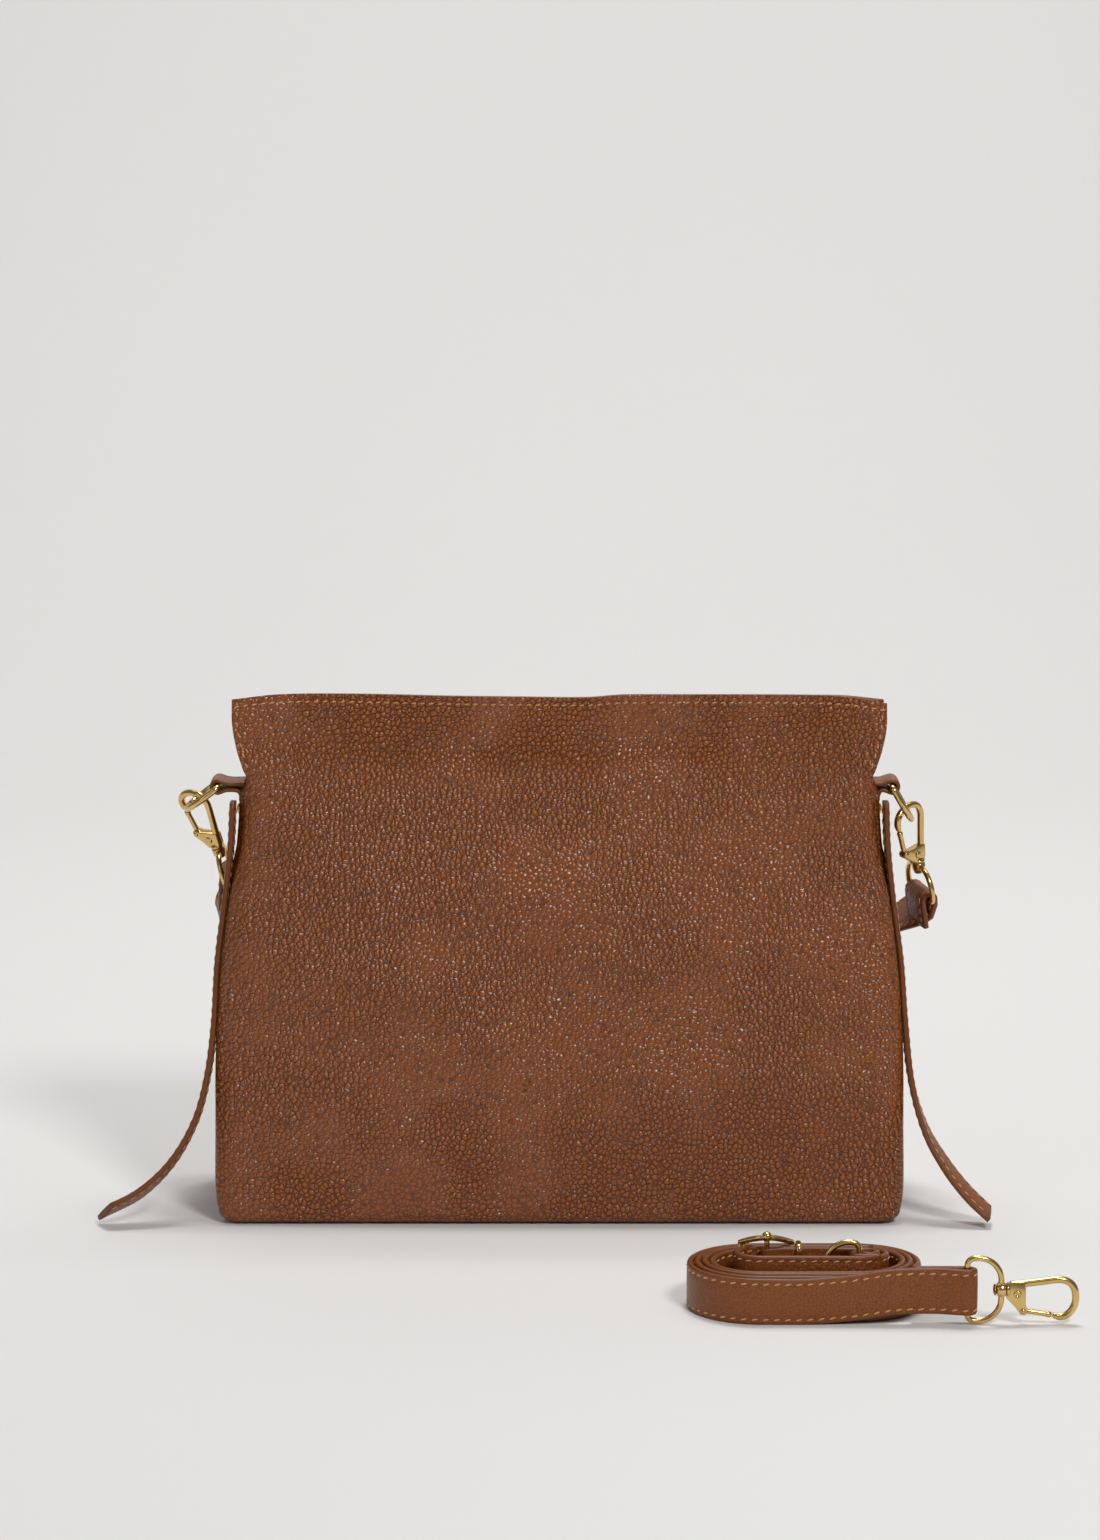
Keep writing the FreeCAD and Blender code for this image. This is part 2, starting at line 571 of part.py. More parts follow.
def buckle_prong():
    """Prong that turns on the buckle's bar and rests on its left end rail."""
    sleeve = Part.makeCylinder(BUCKLE_WIRE + RUNNING + 1.1, PRONG_SLEEVE,
                               coil_point(BUCKLE_X, BUCKLE_LINE, PRONG_Z - PRONG_SLEEVE / 2), Z_AXIS)
    bore = Part.makeCylinder(BUCKLE_WIRE + RUNNING, 20,
                             coil_point(BUCKLE_X, BUCKLE_LINE, PRONG_Z - 10), Z_AXIS)
    points = [coil_point(BUCKLE_X + x, BUCKLE_LINE + y, PRONG_Z) for x, y in PRONG_PATH]
    pieces = [sleeve] + [Part.makeSphere(PRONG_R, point) for point in points[1:]]
    for a, b in zip(points, points[1:]):
        pieces.append(Part.makeCylinder(PRONG_R, (b - a).Length, a, b - a))
    return pieces[0].fuse(pieces[1:]).cut(bore)


def keeper():
    """Metal loop that holds the tongue down on the buckle strap."""
    half = STRAP_THICK / 2 + KEEPER_ROOM + KEEPER_WIRE
    y0, y1 = BUCKLE_LINE - half, TURNS[-1] + half
    z0, z1 = RAISE - KEEPER_ROOM - KEEPER_WIRE, RAISE + STRAP_WIDTH + KEEPER_ROOM + KEEPER_WIRE
    loop = rounded_loop(y0, y1, (z1 - z0) / 2, 1.2, KEEPER_WIRE)
    place = FreeCAD.Matrix(0, 0, 1, COIL_X + KEEPER_X, 1, 0, 0, COIL_Y, 0, 1, 0, (z0 + z1) / 2, 0, 0, 0, 1)
    return placed(loop, FreeCAD.Placement(place))


def main():
    os.makedirs("parts", exist_ok=True)
    parts = {}
    parts.update(panels())
    parts.update(pocket())
    parts.update(snap())
    for side in ("left", "right"):
        parts[side + "_ring"] = ring(side)
        parts[side + "_ring_tab"] = tab(side)
        parts[side + "_tie"] = tie(side)
    parts["tab_rivets"] = tab_rivets()
    parts.update(hooks())
    parts["shoulder_strap"] = shoulder_strap()
    parts["crossbody_strap"] = crossbody_strap()
    parts["buckle_strap"] = buckle_strap()
    parts["buckle_frame"] = buckle_frame()
    parts["buckle_prong"] = buckle_prong()
    parts["strap_keeper"] = keeper()
    for name, shape in parts.items():
        solids = shape.Solids
        print(name, "valid" if shape.isValid() else "INVALID", len(solids), round(shape.Volume))
        shape.exportStep(os.path.join("parts", name + ".step"))


main()
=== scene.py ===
# %% [markdown]
# # A soft leather sling bag
# The object is a soft bag of pebbled cowhide. Brass rings hang at its sides, a short strap is
# clipped to them behind the bag, two ties are sewn below them, and a long crossbody strap lies
# rolled up in front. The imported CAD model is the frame: it says where every part is and how big
# it is. This script gives each part its real surface, in the frame's own metres.

import json
import math

import bmesh
import bpy
from mathutils import Matrix, Vector, noise


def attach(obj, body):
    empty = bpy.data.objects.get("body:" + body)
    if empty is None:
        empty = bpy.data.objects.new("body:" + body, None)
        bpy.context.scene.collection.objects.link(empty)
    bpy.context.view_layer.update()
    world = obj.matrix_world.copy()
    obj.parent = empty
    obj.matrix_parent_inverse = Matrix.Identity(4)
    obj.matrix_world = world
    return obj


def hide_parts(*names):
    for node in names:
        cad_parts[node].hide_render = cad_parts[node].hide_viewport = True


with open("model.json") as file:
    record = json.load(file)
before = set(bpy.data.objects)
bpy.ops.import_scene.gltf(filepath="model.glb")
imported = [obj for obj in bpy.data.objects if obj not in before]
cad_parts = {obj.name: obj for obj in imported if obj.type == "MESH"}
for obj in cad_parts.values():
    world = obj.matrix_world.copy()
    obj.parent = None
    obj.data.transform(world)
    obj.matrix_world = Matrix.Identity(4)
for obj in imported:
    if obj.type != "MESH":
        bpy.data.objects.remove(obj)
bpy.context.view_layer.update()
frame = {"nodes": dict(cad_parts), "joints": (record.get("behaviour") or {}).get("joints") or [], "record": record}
MM = 0.001
X, Y, Z = Vector((1, 0, 0)), Vector((0, 1, 0)), Vector((0, 0, 1))
print("nodes in the frame:", len(frame["nodes"]))

# %% [markdown]
# ## Camera, floor and light
# A product picture is taken from a little above, from far enough away that the sides stay
# almost parallel. So the lens is long and the camera stands 2.25 m in front. The floor turns up
# into the wall in one sweep, which leaves no horizon. A large soft box hangs overhead, a smaller
# one stands high on the right in front, a weak one fills from the left, and one washes the wall.
# An even pale world keeps the shadows open.

# %% Camera
CAMERA_AT = (-0.0043, -2.25, 0.567)
CAMERA_TILT = 80.8      # degrees from straight down
CAMERA_LENS = 115.95    # mm, on a 36 mm sensor

camera = bpy.data.objects.new("camera", bpy.data.cameras.new("camera"))
camera.location = CAMERA_AT
camera.rotation_euler = (math.radians(CAMERA_TILT), 0, 0)
camera.data.lens = CAMERA_LENS
camera.data.clip_end = 30
bpy.context.scene.collection.objects.link(camera)
bpy.context.scene.camera = camera
bpy.context.scene.view_settings.view_transform = "Standard"
print("camera stands at", CAMERA_AT)


# %% [markdown]
# Colours are written as the hex codes that a colour picker shows. Blender's shaders work with
# linear light, so one function turns a code into linear values. A second one adds a node to a
# tree, with its settings and its links: each input is a value, or the socket that feeds it.

# %% Small helpers for materials
def linear(code):
    """Linear colour of an sRGB hex code."""
    shares = [int(code[i:i + 2], 16) / 255 for i in (1, 3, 5)]
    return [c / 12.92 if c <= 0.04045 else ((c + 0.055) / 1.055) ** 2.4 for c in shares] + [1.0]


def add(tree, kind, settings=None, inputs=None):
    """A new node. Inputs are keyed by name or number, and hold values or the sockets that feed them."""
    node = tree.nodes.new(kind)
    for name, value in (settings or {}).items():
        setattr(node, name, value)
    for key, value in (inputs or {}).items():
        if isinstance(value, bpy.types.NodeSocket):
            tree.links.new(value, node.inputs[key])
        else:
            node.inputs[key].default_value = value
    return node


def start_material(name, **uniform):
    """An empty material: its tree, its shader with the uniform values set, and Object coordinates."""
    material = bpy.data.materials.new(name)
    material.use_nodes = True
    tree = material.node_tree
    shader = tree.nodes["Principled BSDF"]
    for key, value in uniform.items():
        shader.inputs[key.replace("_", " ")].default_value = value
    place = add(tree, "ShaderNodeTexCoord").outputs["Object"]
    return material, tree, shader, place


def mixed(tree, factor, low, high):
    """Colour between two others."""
    return add(tree, "ShaderNodeMix", {"data_type": "RGBA"}, {0: factor, 6: low, 7: high}).outputs[2]


# %% Floor and lights
FLOOR_HALF = 3.0        # m to each side
FLOOR_FRONT = -3.0      # m, in front of the bag
SWEEP_START = 1.1       # m behind the bag, where the floor begins to rise
SWEEP_RADIUS = 0.9
WALL_TOP = 3.2
SWEEP_STEPS = 24


def paper_finish():
    """Matte paper with a slight unevenness. It is clear from behind, so no wall hides the bag's back."""
    material, tree, shader, place = start_material("matte_backdrop_paper", Roughness=0.95)
    shader.inputs["Specular IOR Level"].default_value = 0.1
    cloud = add(tree, "ShaderNodeTexNoise", None, {"Vector": place, "Scale": 1.5, "Detail": 2.0})
    colour = mixed(tree, cloud.outputs["Fac"], linear("#E3E2E0"), linear("#E6E5E3"))
    tree.links.new(colour, shader.inputs["Base Color"])
    back_side = add(tree, "ShaderNodeNewGeometry").outputs["Backfacing"]
    clear = add(tree, "ShaderNodeBsdfTransparent").outputs["BSDF"]
    shown = add(tree, "ShaderNodeMixShader", None, {0: back_side, 1: shader.outputs["BSDF"], 2: clear})
    tree.links.new(shown.outputs["Shader"], tree.nodes["Material Output"].inputs["Surface"])
    return material


def backdrop():
    profile = [(FLOOR_FRONT, 0.0)]
    for step in range(SWEEP_STEPS + 1):
        a = math.radians(90 * step / SWEEP_STEPS)
        profile.append((SWEEP_START + SWEEP_RADIUS * math.sin(a), SWEEP_RADIUS * (1 - math.cos(a))))
    profile.append((SWEEP_START + SWEEP_RADIUS, WALL_TOP))
    points = [(side * FLOOR_HALF, y, z) for y, z in profile for side in (-1, 1)]
    faces = [(2 * i, 2 * i + 1, 2 * i + 3, 2 * i + 2) for i in range(len(profile) - 1)]
    mesh = bpy.data.meshes.new("backdrop")
    mesh.from_pydata(points, [], faces)
    mesh.shade_smooth()
    mesh.materials.append(paper_finish())
    sweep = bpy.data.objects.new("backdrop", mesh)
    bpy.context.scene.collection.objects.link(sweep)


def soft_box(name, place, target, width, height, power, code):
    """Rectangular light that faces a point."""
    data = bpy.data.lights.new(name, "AREA")
    data.shape = "RECTANGLE"
    data.size, data.size_y, data.energy = width, height, power
    data.color = linear(code)[:3]
    lamp = bpy.data.objects.new(name, data)
    lamp.location = place
    lamp.rotation_euler = (Vector(target) - Vector(place)).to_track_quat("-Z", "Y").to_euler()
    bpy.context.scene.collection.objects.link(lamp)


def studio_world(code, strength):
    world = bpy.data.worlds.new("studio")
    world.use_nodes = True
    world.node_tree.nodes["Background"].inputs["Color"].default_value = linear(code)
    world.node_tree.nodes["Background"].inputs["Strength"].default_value = strength
    bpy.context.scene.world = world


backdrop()
studio_world("#F4F4F6", 0.2)
soft_box("key", (0.8, -1.8, 1.8), (0, 0, 0.12), 0.5, 0.5, 26, "#FFFFFF")
soft_box("overhead", (0.15, 0.3, 2.2), (0, 0, 0), 0.5, 0.4, 19, "#FFFFFF")
soft_box("fill", (-1.6, -1.6, 1.0), (0, 0, 0.1), 0.9, 1.2, 3, "#FFFFFF")
soft_box("wall_wash", (0, 0.9, 2.3), (0, 2.0, 0.3), 2.6, 0.5, 18, "#FFFFFF")
print("studio is lit")


# %% [markdown]
# ## Leather
# Full-grain cowhide that has been tumbled in a drum shrinks into small rounded pebbles with
# creases between them. The creases are painted darker as shade, and a thin clear finish on top
# gives each pebble its own small highlight. A Voronoi pattern has just this build: its cells are
# the pebbles and its edges are the creases. A slow noise pushes the cells about, so that no two
# have the same size. Straps are cut from a firmer hide, which is pressed flatter, and their cut
# edges are sanded and painted.

# %% Leather materials
def hide(name, body, crease_shade, light, pebble, depth, **uniform):
    """Pebbled hide. Pebble width and height are in millimetres."""
    material, tree, shader, place = start_material(name, IOR=1.46, **uniform)
    drift = add(tree, "ShaderNodeTexNoise", None,
                {"Vector": place, "Scale": 0.35 / (pebble * MM), "Detail": 2.0})
    shift = (pebble * MM,) * 3
    pushed = add(tree, "ShaderNodeVectorMath", {"operation": "MULTIPLY_ADD"},
                 {0: drift.outputs["Color"], 1: shift, 2: place}).outputs[0]
    cells = {kind: add(tree, "ShaderNodeTexVoronoi", {"feature": kind},
                       {"Vector": pushed, "Scale": 1 / (pebble * MM), "Randomness": 0.85}).outputs["Distance"]
             for kind in ("F1", "DISTANCE_TO_EDGE")}
    square = add(tree, "ShaderNodeMath", {"operation": "POWER"}, {0: cells["F1"], 1: 2.0}).outputs[0]
    dome = add(tree, "ShaderNodeMapRange", None,
               {"Value": square, "From Min": 0.0, "From Max": 0.6,
                "To Min": 1.0, "To Max": 0.0}).outputs["Result"]
    # Mask that is 0 in the creases and 1 on the pebbles: it shapes the pebbles' height, and it also marks where
    # painted shade goes in the creases.
    crease_shade_and_rise = add(tree, "ShaderNodeMapRange", {"interpolation_type": "SMOOTHSTEP"},
               {"Value": cells["DISTANCE_TO_EDGE"], "From Min": 0.0, "From Max": 0.16}).outputs["Result"]
    height = add(tree, "ShaderNodeMath", {"operation": "MULTIPLY_ADD"},
                 {0: crease_shade_and_rise, 1: 0.25, 2: dome}).outputs[0]
    cloud = add(tree, "ShaderNodeTexNoise", None, {"Vector": place, "Scale": 1 / (55 * MM), "Detail": 2.0})
    relief = add(tree, "ShaderNodeMapRange", {"interpolation_type": "SMOOTHSTEP"},
                 {"Value": cloud.outputs["Fac"], "From Min": 0.35, "From Max": 0.6,
                  "To Min": 0.4, "To Max": 1.0}).outputs["Result"]
    bump = add(tree, "ShaderNodeBump", None, {"Height": height, "Distance": depth * MM, "Strength": relief})
    top = mixed(tree, cloud.outputs["Fac"], linear(body), linear(light))
    # Painted shade: the creases take the darker colour, standing in for the shade that falls into them.
    tree.links.new(mixed(tree, crease_shade_and_rise, linear(crease_shade), top), shader.inputs["Base Color"])
    tree.links.new(bump.outputs["Normal"], shader.inputs["Normal"])
    return material


def painted_edge():
    """Cut edge, sanded and painted: smooth, a little darker than the face, with brush waves."""
    material, tree, shader, place = start_material("painted_leather_edge", Roughness=0.42, IOR=1.48)
    wave = add(tree, "ShaderNodeTexNoise", None, {"Vector": place, "Scale": 1 / (2.5 * MM), "Detail": 3.0})
    colour = mixed(tree, wave.outputs["Fac"], linear("#64330F"), linear("#7C4519"))
    bump = add(tree, "ShaderNodeBump", None, {"Height": wave.outputs["Fac"], "Distance": 0.12 * MM})
    tree.links.new(colour, shader.inputs["Base Color"])
    tree.links.new(bump.outputs["Normal"], shader.inputs["Normal"])
    return material


# The second colour of each hide is painted shade for its creases.
PANEL_HIDE = hide("pebbled_full_grain_cowhide", "#8C470E", "#66310B", "#975215", 2.3, 1.0,
                  Roughness=0.27, Specular_IOR_Level=0.7)
STRAP_HIDE = hide("smooth_vegetable_tanned_strap_hide", "#834310", "#723A0E", "#8C4C18", 1.6, 0.2,
                  Roughness=0.42)
EDGE_PAINT = painted_edge()
print("leathers:", PANEL_HIDE.name, STRAP_HIDE.name, EDGE_PAINT.name)


# %% [markdown]
# ## Cloth, thread, brass and steel
# The lining is cotton twill: diagonal ribs half a millimetre apart, drawn a little coarser here
# so that they show. The thread is bonded polyester, twisted, in a tan that is lighter than the
# hide. The hardware is zinc with a light brass plating under clear lacquer: a bright metal whose
# cast surface is never perfectly even. The base board is plain black-grey board.

# %% Other materials
def cotton(name, dark, light, rib):
    """Twill: ribs across a slanting direction, with a fine yarn noise."""
    material, tree, shader, place = start_material(name, Roughness=0.9, Sheen_Weight=0.2)
    slanted = add(tree, "ShaderNodeMapping", None, {"Vector": place, "Rotation": (0.6, 0.8, 0.4)}).outputs[0]
    ribs = add(tree, "ShaderNodeTexWave", None,
               {"Vector": slanted, "Scale": 0.3 / (rib * MM), "Distortion": 0.4, "Detail": 1.0})
    yarn = add(tree, "ShaderNodeTexNoise", None, {"Vector": place, "Scale": 1 / (0.8 * MM)})
    both = add(tree, "ShaderNodeMath", {"operation": "MULTIPLY_ADD"},
               {0: yarn.outputs["Fac"], 1: 0.5, 2: ribs.outputs["Fac"]}).outputs[0]
    tree.links.new(mixed(tree, both, linear(dark), linear(light)), shader.inputs["Base Color"])
    bump = add(tree, "ShaderNodeBump", None, {"Height": both, "Distance": 0.12 * MM})
    tree.links.new(bump.outputs["Normal"], shader.inputs["Normal"])
    return material


def twisted_thread(name, dark, light):
    """Sewing thread: its plies show as fine slanting lines."""
    material, tree, shader, place = start_material(name, Roughness=0.6, Sheen_Weight=0.25)
    plies = add(tree, "ShaderNodeTexNoise", None, {"Vector": place, "Scale": 1 / (0.6 * MM), "Detail": 1.0})
    colour = mixed(tree, plies.outputs["Fac"], linear(dark), linear(light))
    tree.links.new(colour, shader.inputs["Base Color"])
    bump = add(tree, "ShaderNodeBump", None, {"Height": plies.outputs["Fac"], "Distance": 0.15 * MM})
    tree.links.new(bump.outputs["Normal"], shader.inputs["Normal"])
    return material


def plated(name, dark, light, wave, depth, **uniform):
    """Plated metal: slow waves of the cast surface in millimetres, and fine handling marks."""
    material, tree, shader, place = start_material(name, Metallic=1.0, **uniform)
    waves = add(tree, "ShaderNodeTexNoise", None, {"Vector": place, "Scale": 1 / (wave * MM), "Detail": 2.0})
    marks = add(tree, "ShaderNodeTexNoise", None, {"Vector": place, "Scale": 1 / (1.5 * MM), "Detail": 4.0})
    base = uniform["Roughness"]
    rough = add(tree, "ShaderNodeMapRange", None,
                {"Value": marks.outputs["Fac"],
                 "To Min": base * 0.75, "To Max": base * 1.35}).outputs["Result"]
    bump = add(tree, "ShaderNodeBump", None, {"Height": waves.outputs["Fac"], "Distance": depth * MM})
    colour = mixed(tree, waves.outputs["Fac"], linear(dark), linear(light))
    tree.links.new(colour, shader.inputs["Base Color"])
    tree.links.new(rough, shader.inputs["Roughness"])
    tree.links.new(bump.outputs["Normal"], shader.inputs["Normal"])
    return material


def board():
    material, tree, shader, place = start_material("polyethylene_base_board", Roughness=0.6)
    grain = add(tree, "ShaderNodeTexNoise", None, {"Vector": place, "Scale": 1 / (1.2 * MM), "Detail": 3.0})
    tree.links.new(mixed(tree, grain.outputs["Fac"], linear("#333130"), linear("#3E3C3A")),
                   shader.inputs["Base Color"])
    return material


LINING = cotton("cotton_twill_lining", "#A38E70", "#CDBB9C", 0.9)
THREAD = twisted_thread("tan_bonded_polyester_thread", "#B87B45", "#E0A76B")
BRASS = plated("light_brass_plating", "#C9A15A", "#E6C989", 9.0, 0.05, Roughness=0.2)
SNAP_METAL = plated("brass_plated_pressed_steel", "#BF9A58", "#D9B979", 5.0, 0.02, Roughness=0.28)
SPRING_STEEL = plated("drawn_spring_steel", "#8D8D8F", "#A8A8AA", 2.0, 0.01, Roughness=0.3)
BOARD = board()
CAD_FINISH = {"panel_leather": PANEL_HIDE, "strap_leather": STRAP_HIDE, "lining_cotton": LINING,
              "base_card": BOARD, "brass": BRASS, "spring_steel": SPRING_STEEL, "snap_steel": SNAP_METAL}
for row in frame["record"]["subparts"]:
    node_object = frame["nodes"][row["node"]]
    node_object.data.materials.clear()
    node_object.data.materials.append(CAD_FINISH[row["material_slot"]])


# %% [markdown]
# ## How pieces are made
# A piece is written as lists of points and faces in millimetres, which one function turns into
# an object in metres. Closed pieces have their normals turned outwards by Blender. An open sheet
# gets its thickness from the Solidify modifier, whose rim takes the painted edge, and a small
# Bevel takes the sharpness off. The modifiers are applied straight away, so each finished piece
# is a plain mesh that sits at the origin.

# %% Piece helpers
PIECES = {}
FLOOR_AIR = 0.05        # mm, nothing reaches lower than this


def settle(obj):
    """Applies an object's modifiers, and leaves the result as its own plain mesh."""
    graph = bpy.context.evaluated_depsgraph_get()
    mesh = bpy.data.meshes.new_from_object(obj.evaluated_get(graph))
    obj.modifiers.clear()
    obj.data = mesh
    obj.data.name = obj.name


def piece(name, shape, materials, body, hides=(), closed=True,
          outward=None, wall=None, round_edge=None):
    """A finished piece. Shape is (points in mm, faces, material number of each face)."""
    points, faces, numbers = shape
    mesh = bpy.data.meshes.new(name)
    mesh.from_pydata([Vector(p) * MM for p in points], [], faces)
    for material in materials:
        mesh.materials.append(material)
    if numbers:
        mesh.polygons.foreach_set("material_index", numbers)
    if outward is not None:
        facing = sum((face.normal * face.area for face in mesh.polygons), Vector())
        if facing.dot(outward) < 0:
            mesh.flip_normals()
    if closed:
        work = bmesh.new()
        work.from_mesh(mesh)
        bmesh.ops.recalc_face_normals(work, faces=work.faces)
        work.to_mesh(mesh)
        work.free()
    mesh.shade_smooth()
    obj = bpy.data.objects.new(name, mesh)
    bpy.context.scene.collection.objects.link(obj)
    if wall:
        solid = obj.modifiers.new("thickness", "SOLIDIFY")
        solid.thickness, solid.offset, solid.use_even_offset = wall * MM, -1, False
        solid.material_offset_rim = len(materials) - 1
    if round_edge:
        bevel = obj.modifiers.new("rounding", "BEVEL")
        bevel.width, bevel.segments, bevel.limit_method = round_edge * MM, 2, "ANGLE"
        bevel.angle_limit = math.radians(50)
    settle(obj)
    for vertex in obj.data.vertices:
        vertex.co.z = max(vertex.co.z, FLOOR_AIR * MM)
    obj.data.shade_smooth()
    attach(obj, body)
    if hides:
        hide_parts(*hides)
    PIECES[name] = obj
    return obj


def grid_faces(rows, columns):
    """Faces of a grid of points, row by row."""
    return [(r * columns + c, r * columns + c + 1, (r + 1) * columns + c + 1, (r + 1) * columns + c)
            for r in range(rows - 1) for c in range(columns - 1)]


def merged(*shapes):
    """Several shapes as one."""
    points, faces, numbers = [], [], []
    for new_points, new_faces, new_numbers in shapes:
        base = len(points)
        points += new_points
        faces += [tuple(i + base for i in face) for face in new_faces]
        numbers += new_numbers or [0] * len(new_faces)
    return points, faces, numbers


def moved(shape, matrix):
    points, faces, numbers = shape
    return [matrix @ Vector(p) for p in points], faces, numbers


print("piece helpers are ready")


# %% [markdown]
# ## The bag's form
# The bag is a soft shell that sags: its front and back swell low down, draw in towards the
# magnetic snap, and flare out again at the rim, where the side seams end and the corners stand
# free like ears. Its half width and its swell are given at a few heights and joined by smooth
# curves. Low, slow waves on top of that are the slack that any soft hide shows.

# %% Form of the bag
BAG_TOP, GUSSET_TOP = 238.0, 203.0
BASE_DEPTH, RIM_DEPTH = 100.0, 26.0
LEVELS = (2.6, 14, 42, 74, 104, 128, 150, 171, 203, 214, 226, 238)
HALF_WIDTHS = (155.3, 157.2, 157.3, 157.2, 155.9, 153.4, 150.1, 145.3, 144.2, 147.0, 149.2, 149.4)
BELLY = (0, 2, 6, 7, 6, 5, 3, 0, -5.4, -9.4, -7.9, -5.4)
HIDE_THICK = 2.2
SIDES = {"front": (-1, 1.0), "back": (1, 0.8)}    # direction along y, and its share of the swell
BACK_RIM_DROP = 3.6                               # the back rim sags below the front one
RIM_WAVE = ((-149, -1.2), (-129, 0.8), (-95, 0.8), (-52, -0.5), (-18, -1.0), (13, -1.3), (30, -0.1),
            (101, 0.4), (124, 0.2), (140, -1.3), (149, -3.0))


def smooth(levels, values, z):
    """Value at z on a smooth curve through the values at the levels."""
    z = min(max(z, levels[0]), levels[-1])
    k = next(i for i in range(len(levels) - 1) if z <= levels[i + 1])

    def slope(i):
        a, b = max(i - 1, 0), min(i + 1, len(levels) - 1)
        return (values[b] - values[a]) / (levels[b] - levels[a])

    span = levels[k + 1] - levels[k]
    t = (z - levels[k]) / span
    return ((2 * t ** 3 - 3 * t ** 2 + 1) * values[k] + (t ** 3 - 2 * t ** 2 + t) * span * slope(k)
            + (3 * t ** 2 - 2 * t ** 3) * values[k + 1] + (t ** 3 - t ** 2) * span * slope(k + 1))


def ease(value, low, high):
    """0 below low, 1 above high, and a smooth step between."""
    t = min(max((value - low) / (high - low), 0), 1)
    return t * t * (3 - 2 * t)


def half_width(z):
    return smooth(LEVELS, HALF_WIDTHS, z)


def half_depth(z):
    return (BASE_DEPTH + (RIM_DEPTH - BASE_DEPTH) * z / BAG_TOP) / 2


def slack(x, z, seed):
    """Low waves of the soft hide, in millimetres, none at the base."""
    wave = noise.noise(Vector((x / 75, z / 42, seed))) + 0.5 * noise.noise(Vector((x / 32, z / 24, seed + 5)))
    return 1.5 * wave * ease(z, 8, 60) * (1 - ease(abs(x), 120, 150))


def skin(side, x, z):
    """Distance of a panel's outer face from the bag's middle plane."""
    sign, share = SIDES[side]
    swell = smooth(LEVELS, BELLY, z)
    swell *= share if swell > 0 else 1
    return half_depth(z) + swell * (1 - (x / half_width(z)) ** 2) + slack(x, z, sign)


def rim_height(side, x):
    """Height of a panel's top edge."""
    xs, waves = [p[0] for p in RIM_WAVE], [p[1] for p in RIM_WAVE]
    drop = BACK_RIM_DROP if side == "back" else 0
    return BAG_TOP + smooth(xs, waves, x if side == "front" else -x) - drop


print("width at half height:", round(2 * half_width(BAG_TOP / 2), 1), "mm")


# %% [markdown]
# ## Sewn panels
# The panels are sewn face to face and turned right side out. So each edge rolls away into its
# seam, and a fine groove is left between the two hides. One function makes such a panel: a flat
# middle, and edges that follow an elliptic roll past a right angle. Where the side seam ends,
# the roll opens out into a flat cut edge, which is the ear.

# %% A panel with rolled seams
GRID_STEP = 2.0         # mm between the points of a panel
ROLL_STEPS = 8
PANEL_ROLL = (10.0, 6.0, 5.0, 140)     # reach across, depth, reach upwards in mm, and turn in degrees
SIDE_ROLL = (3.2, 2.6, 4.0, 100)
BASE_ROLL = (4.0, 2.0, 4.0, 80)


def spaced(low, high, step):
    count = max(2, round((high - low) / step))
    return [low + (high - low) * i / count for i in range(count + 1)]


def rolled_sheet(half, low, high, place, roll, opened=lambda z: 0.0, both_ends=False):
    """Sheet with rolled seams. Place gives the point at (across, up, depth below the face)."""
    reach, deep, rise, turn = roll
    steps = [i / ROLL_STEPS for i in range(ROLL_STEPS, 0, -1)]
    flat_top = high - rise if both_ends else high
    rows = [(low + rise, b, -1) for b in steps] + [(z, 0, 0) for z in spaced(low + rise, flat_top, GRID_STEP)]
    if both_ends:
        rows += [(flat_top, b, 1) for b in reversed(steps)]
    flat = [-1 + 2 * i / 150 for i in range(151)] if half((low + high) / 2) > 100 else spaced(-1, 1, 0.06)
    columns = [(-1, a) for a in steps] + [(f, 0) for f in flat] + [(1, a) for a in reversed(steps)]
    points = []
    for z0, b, end in rows:
        for f, a in columns:
            far = max(a, b)
            size = math.hypot(a, b) or 1
            angle = math.radians(turn) * far
            open_share = opened(z0)
            out = (1 - open_share) * math.sin(angle) + open_share * far
            depth = (1 - open_share) * deep * (1 - math.cos(angle))
            across = f * (half(z0) - reach) + math.copysign(reach * out * a / size, f)
            points.append(place(across, z0 + end * rise * out * b / size, depth))
    return points, grid_faces(len(rows), len(columns)), None


def panel(side):
    """Front or back panel, with its ears."""
    sign = SIDES[side][0]

    def place(x, z, depth):
        lift = (rim_height(side, x) - BAG_TOP) * ease(z, 205, BAG_TOP)
        return Vector((x, sign * (skin(side, x, max(z, 0)) - depth), z + 0.5 + lift))

    sheet = rolled_sheet(half_width, 0.0, BAG_TOP, place, PANEL_ROLL, lambda z: ease(z, 194, 206))
    piece(side + "_panel_hide", sheet, [PANEL_HIDE, EDGE_PAINT], "bag",
          [side + "_panel"], closed=False, outward=Y * sign, wall=HIDE_THICK, round_edge=0.45)


SIDE_IN = 1.0           # the sides lie this far inside the panels' edges
SEAM_BACK = 8.6         # and start this far behind the panels' faces
SIDE_HOLLOW, TAB_SWELL, SIDE_FOLD = 2.2, 1.3, 2.6
SIDE_FOLD_AT, SIDE_FOLD_SPREAD = 0.72, 0.13     # shares of the gusset's half width


def side_skin(y, z):
    """Distance of a side's outer face from the bag's middle. It is hollow low down, swells where
    the ring's tab is sewn on, and is pushed up into a fold beside the tab."""
    room = max(half_depth(z) - SEAM_BACK, 1)
    share = abs(y) / room
    near_tab = ease(z, 140, 160) * (1 - ease(z, 192, 203))
    hollow = SIDE_HOLLOW * ease(z, 20, 110) * (1 - ease(z, 120, 150)) * max(0, 1 - share ** 2)
    fold = SIDE_FOLD * math.exp(-((share - SIDE_FOLD_AT) / SIDE_FOLD_SPREAD) ** 2)
    swell = near_tab * (TAB_SWELL * max(0, 1 - share ** 4) + fold)
    return half_width(z) - SIDE_IN + swell - hollow


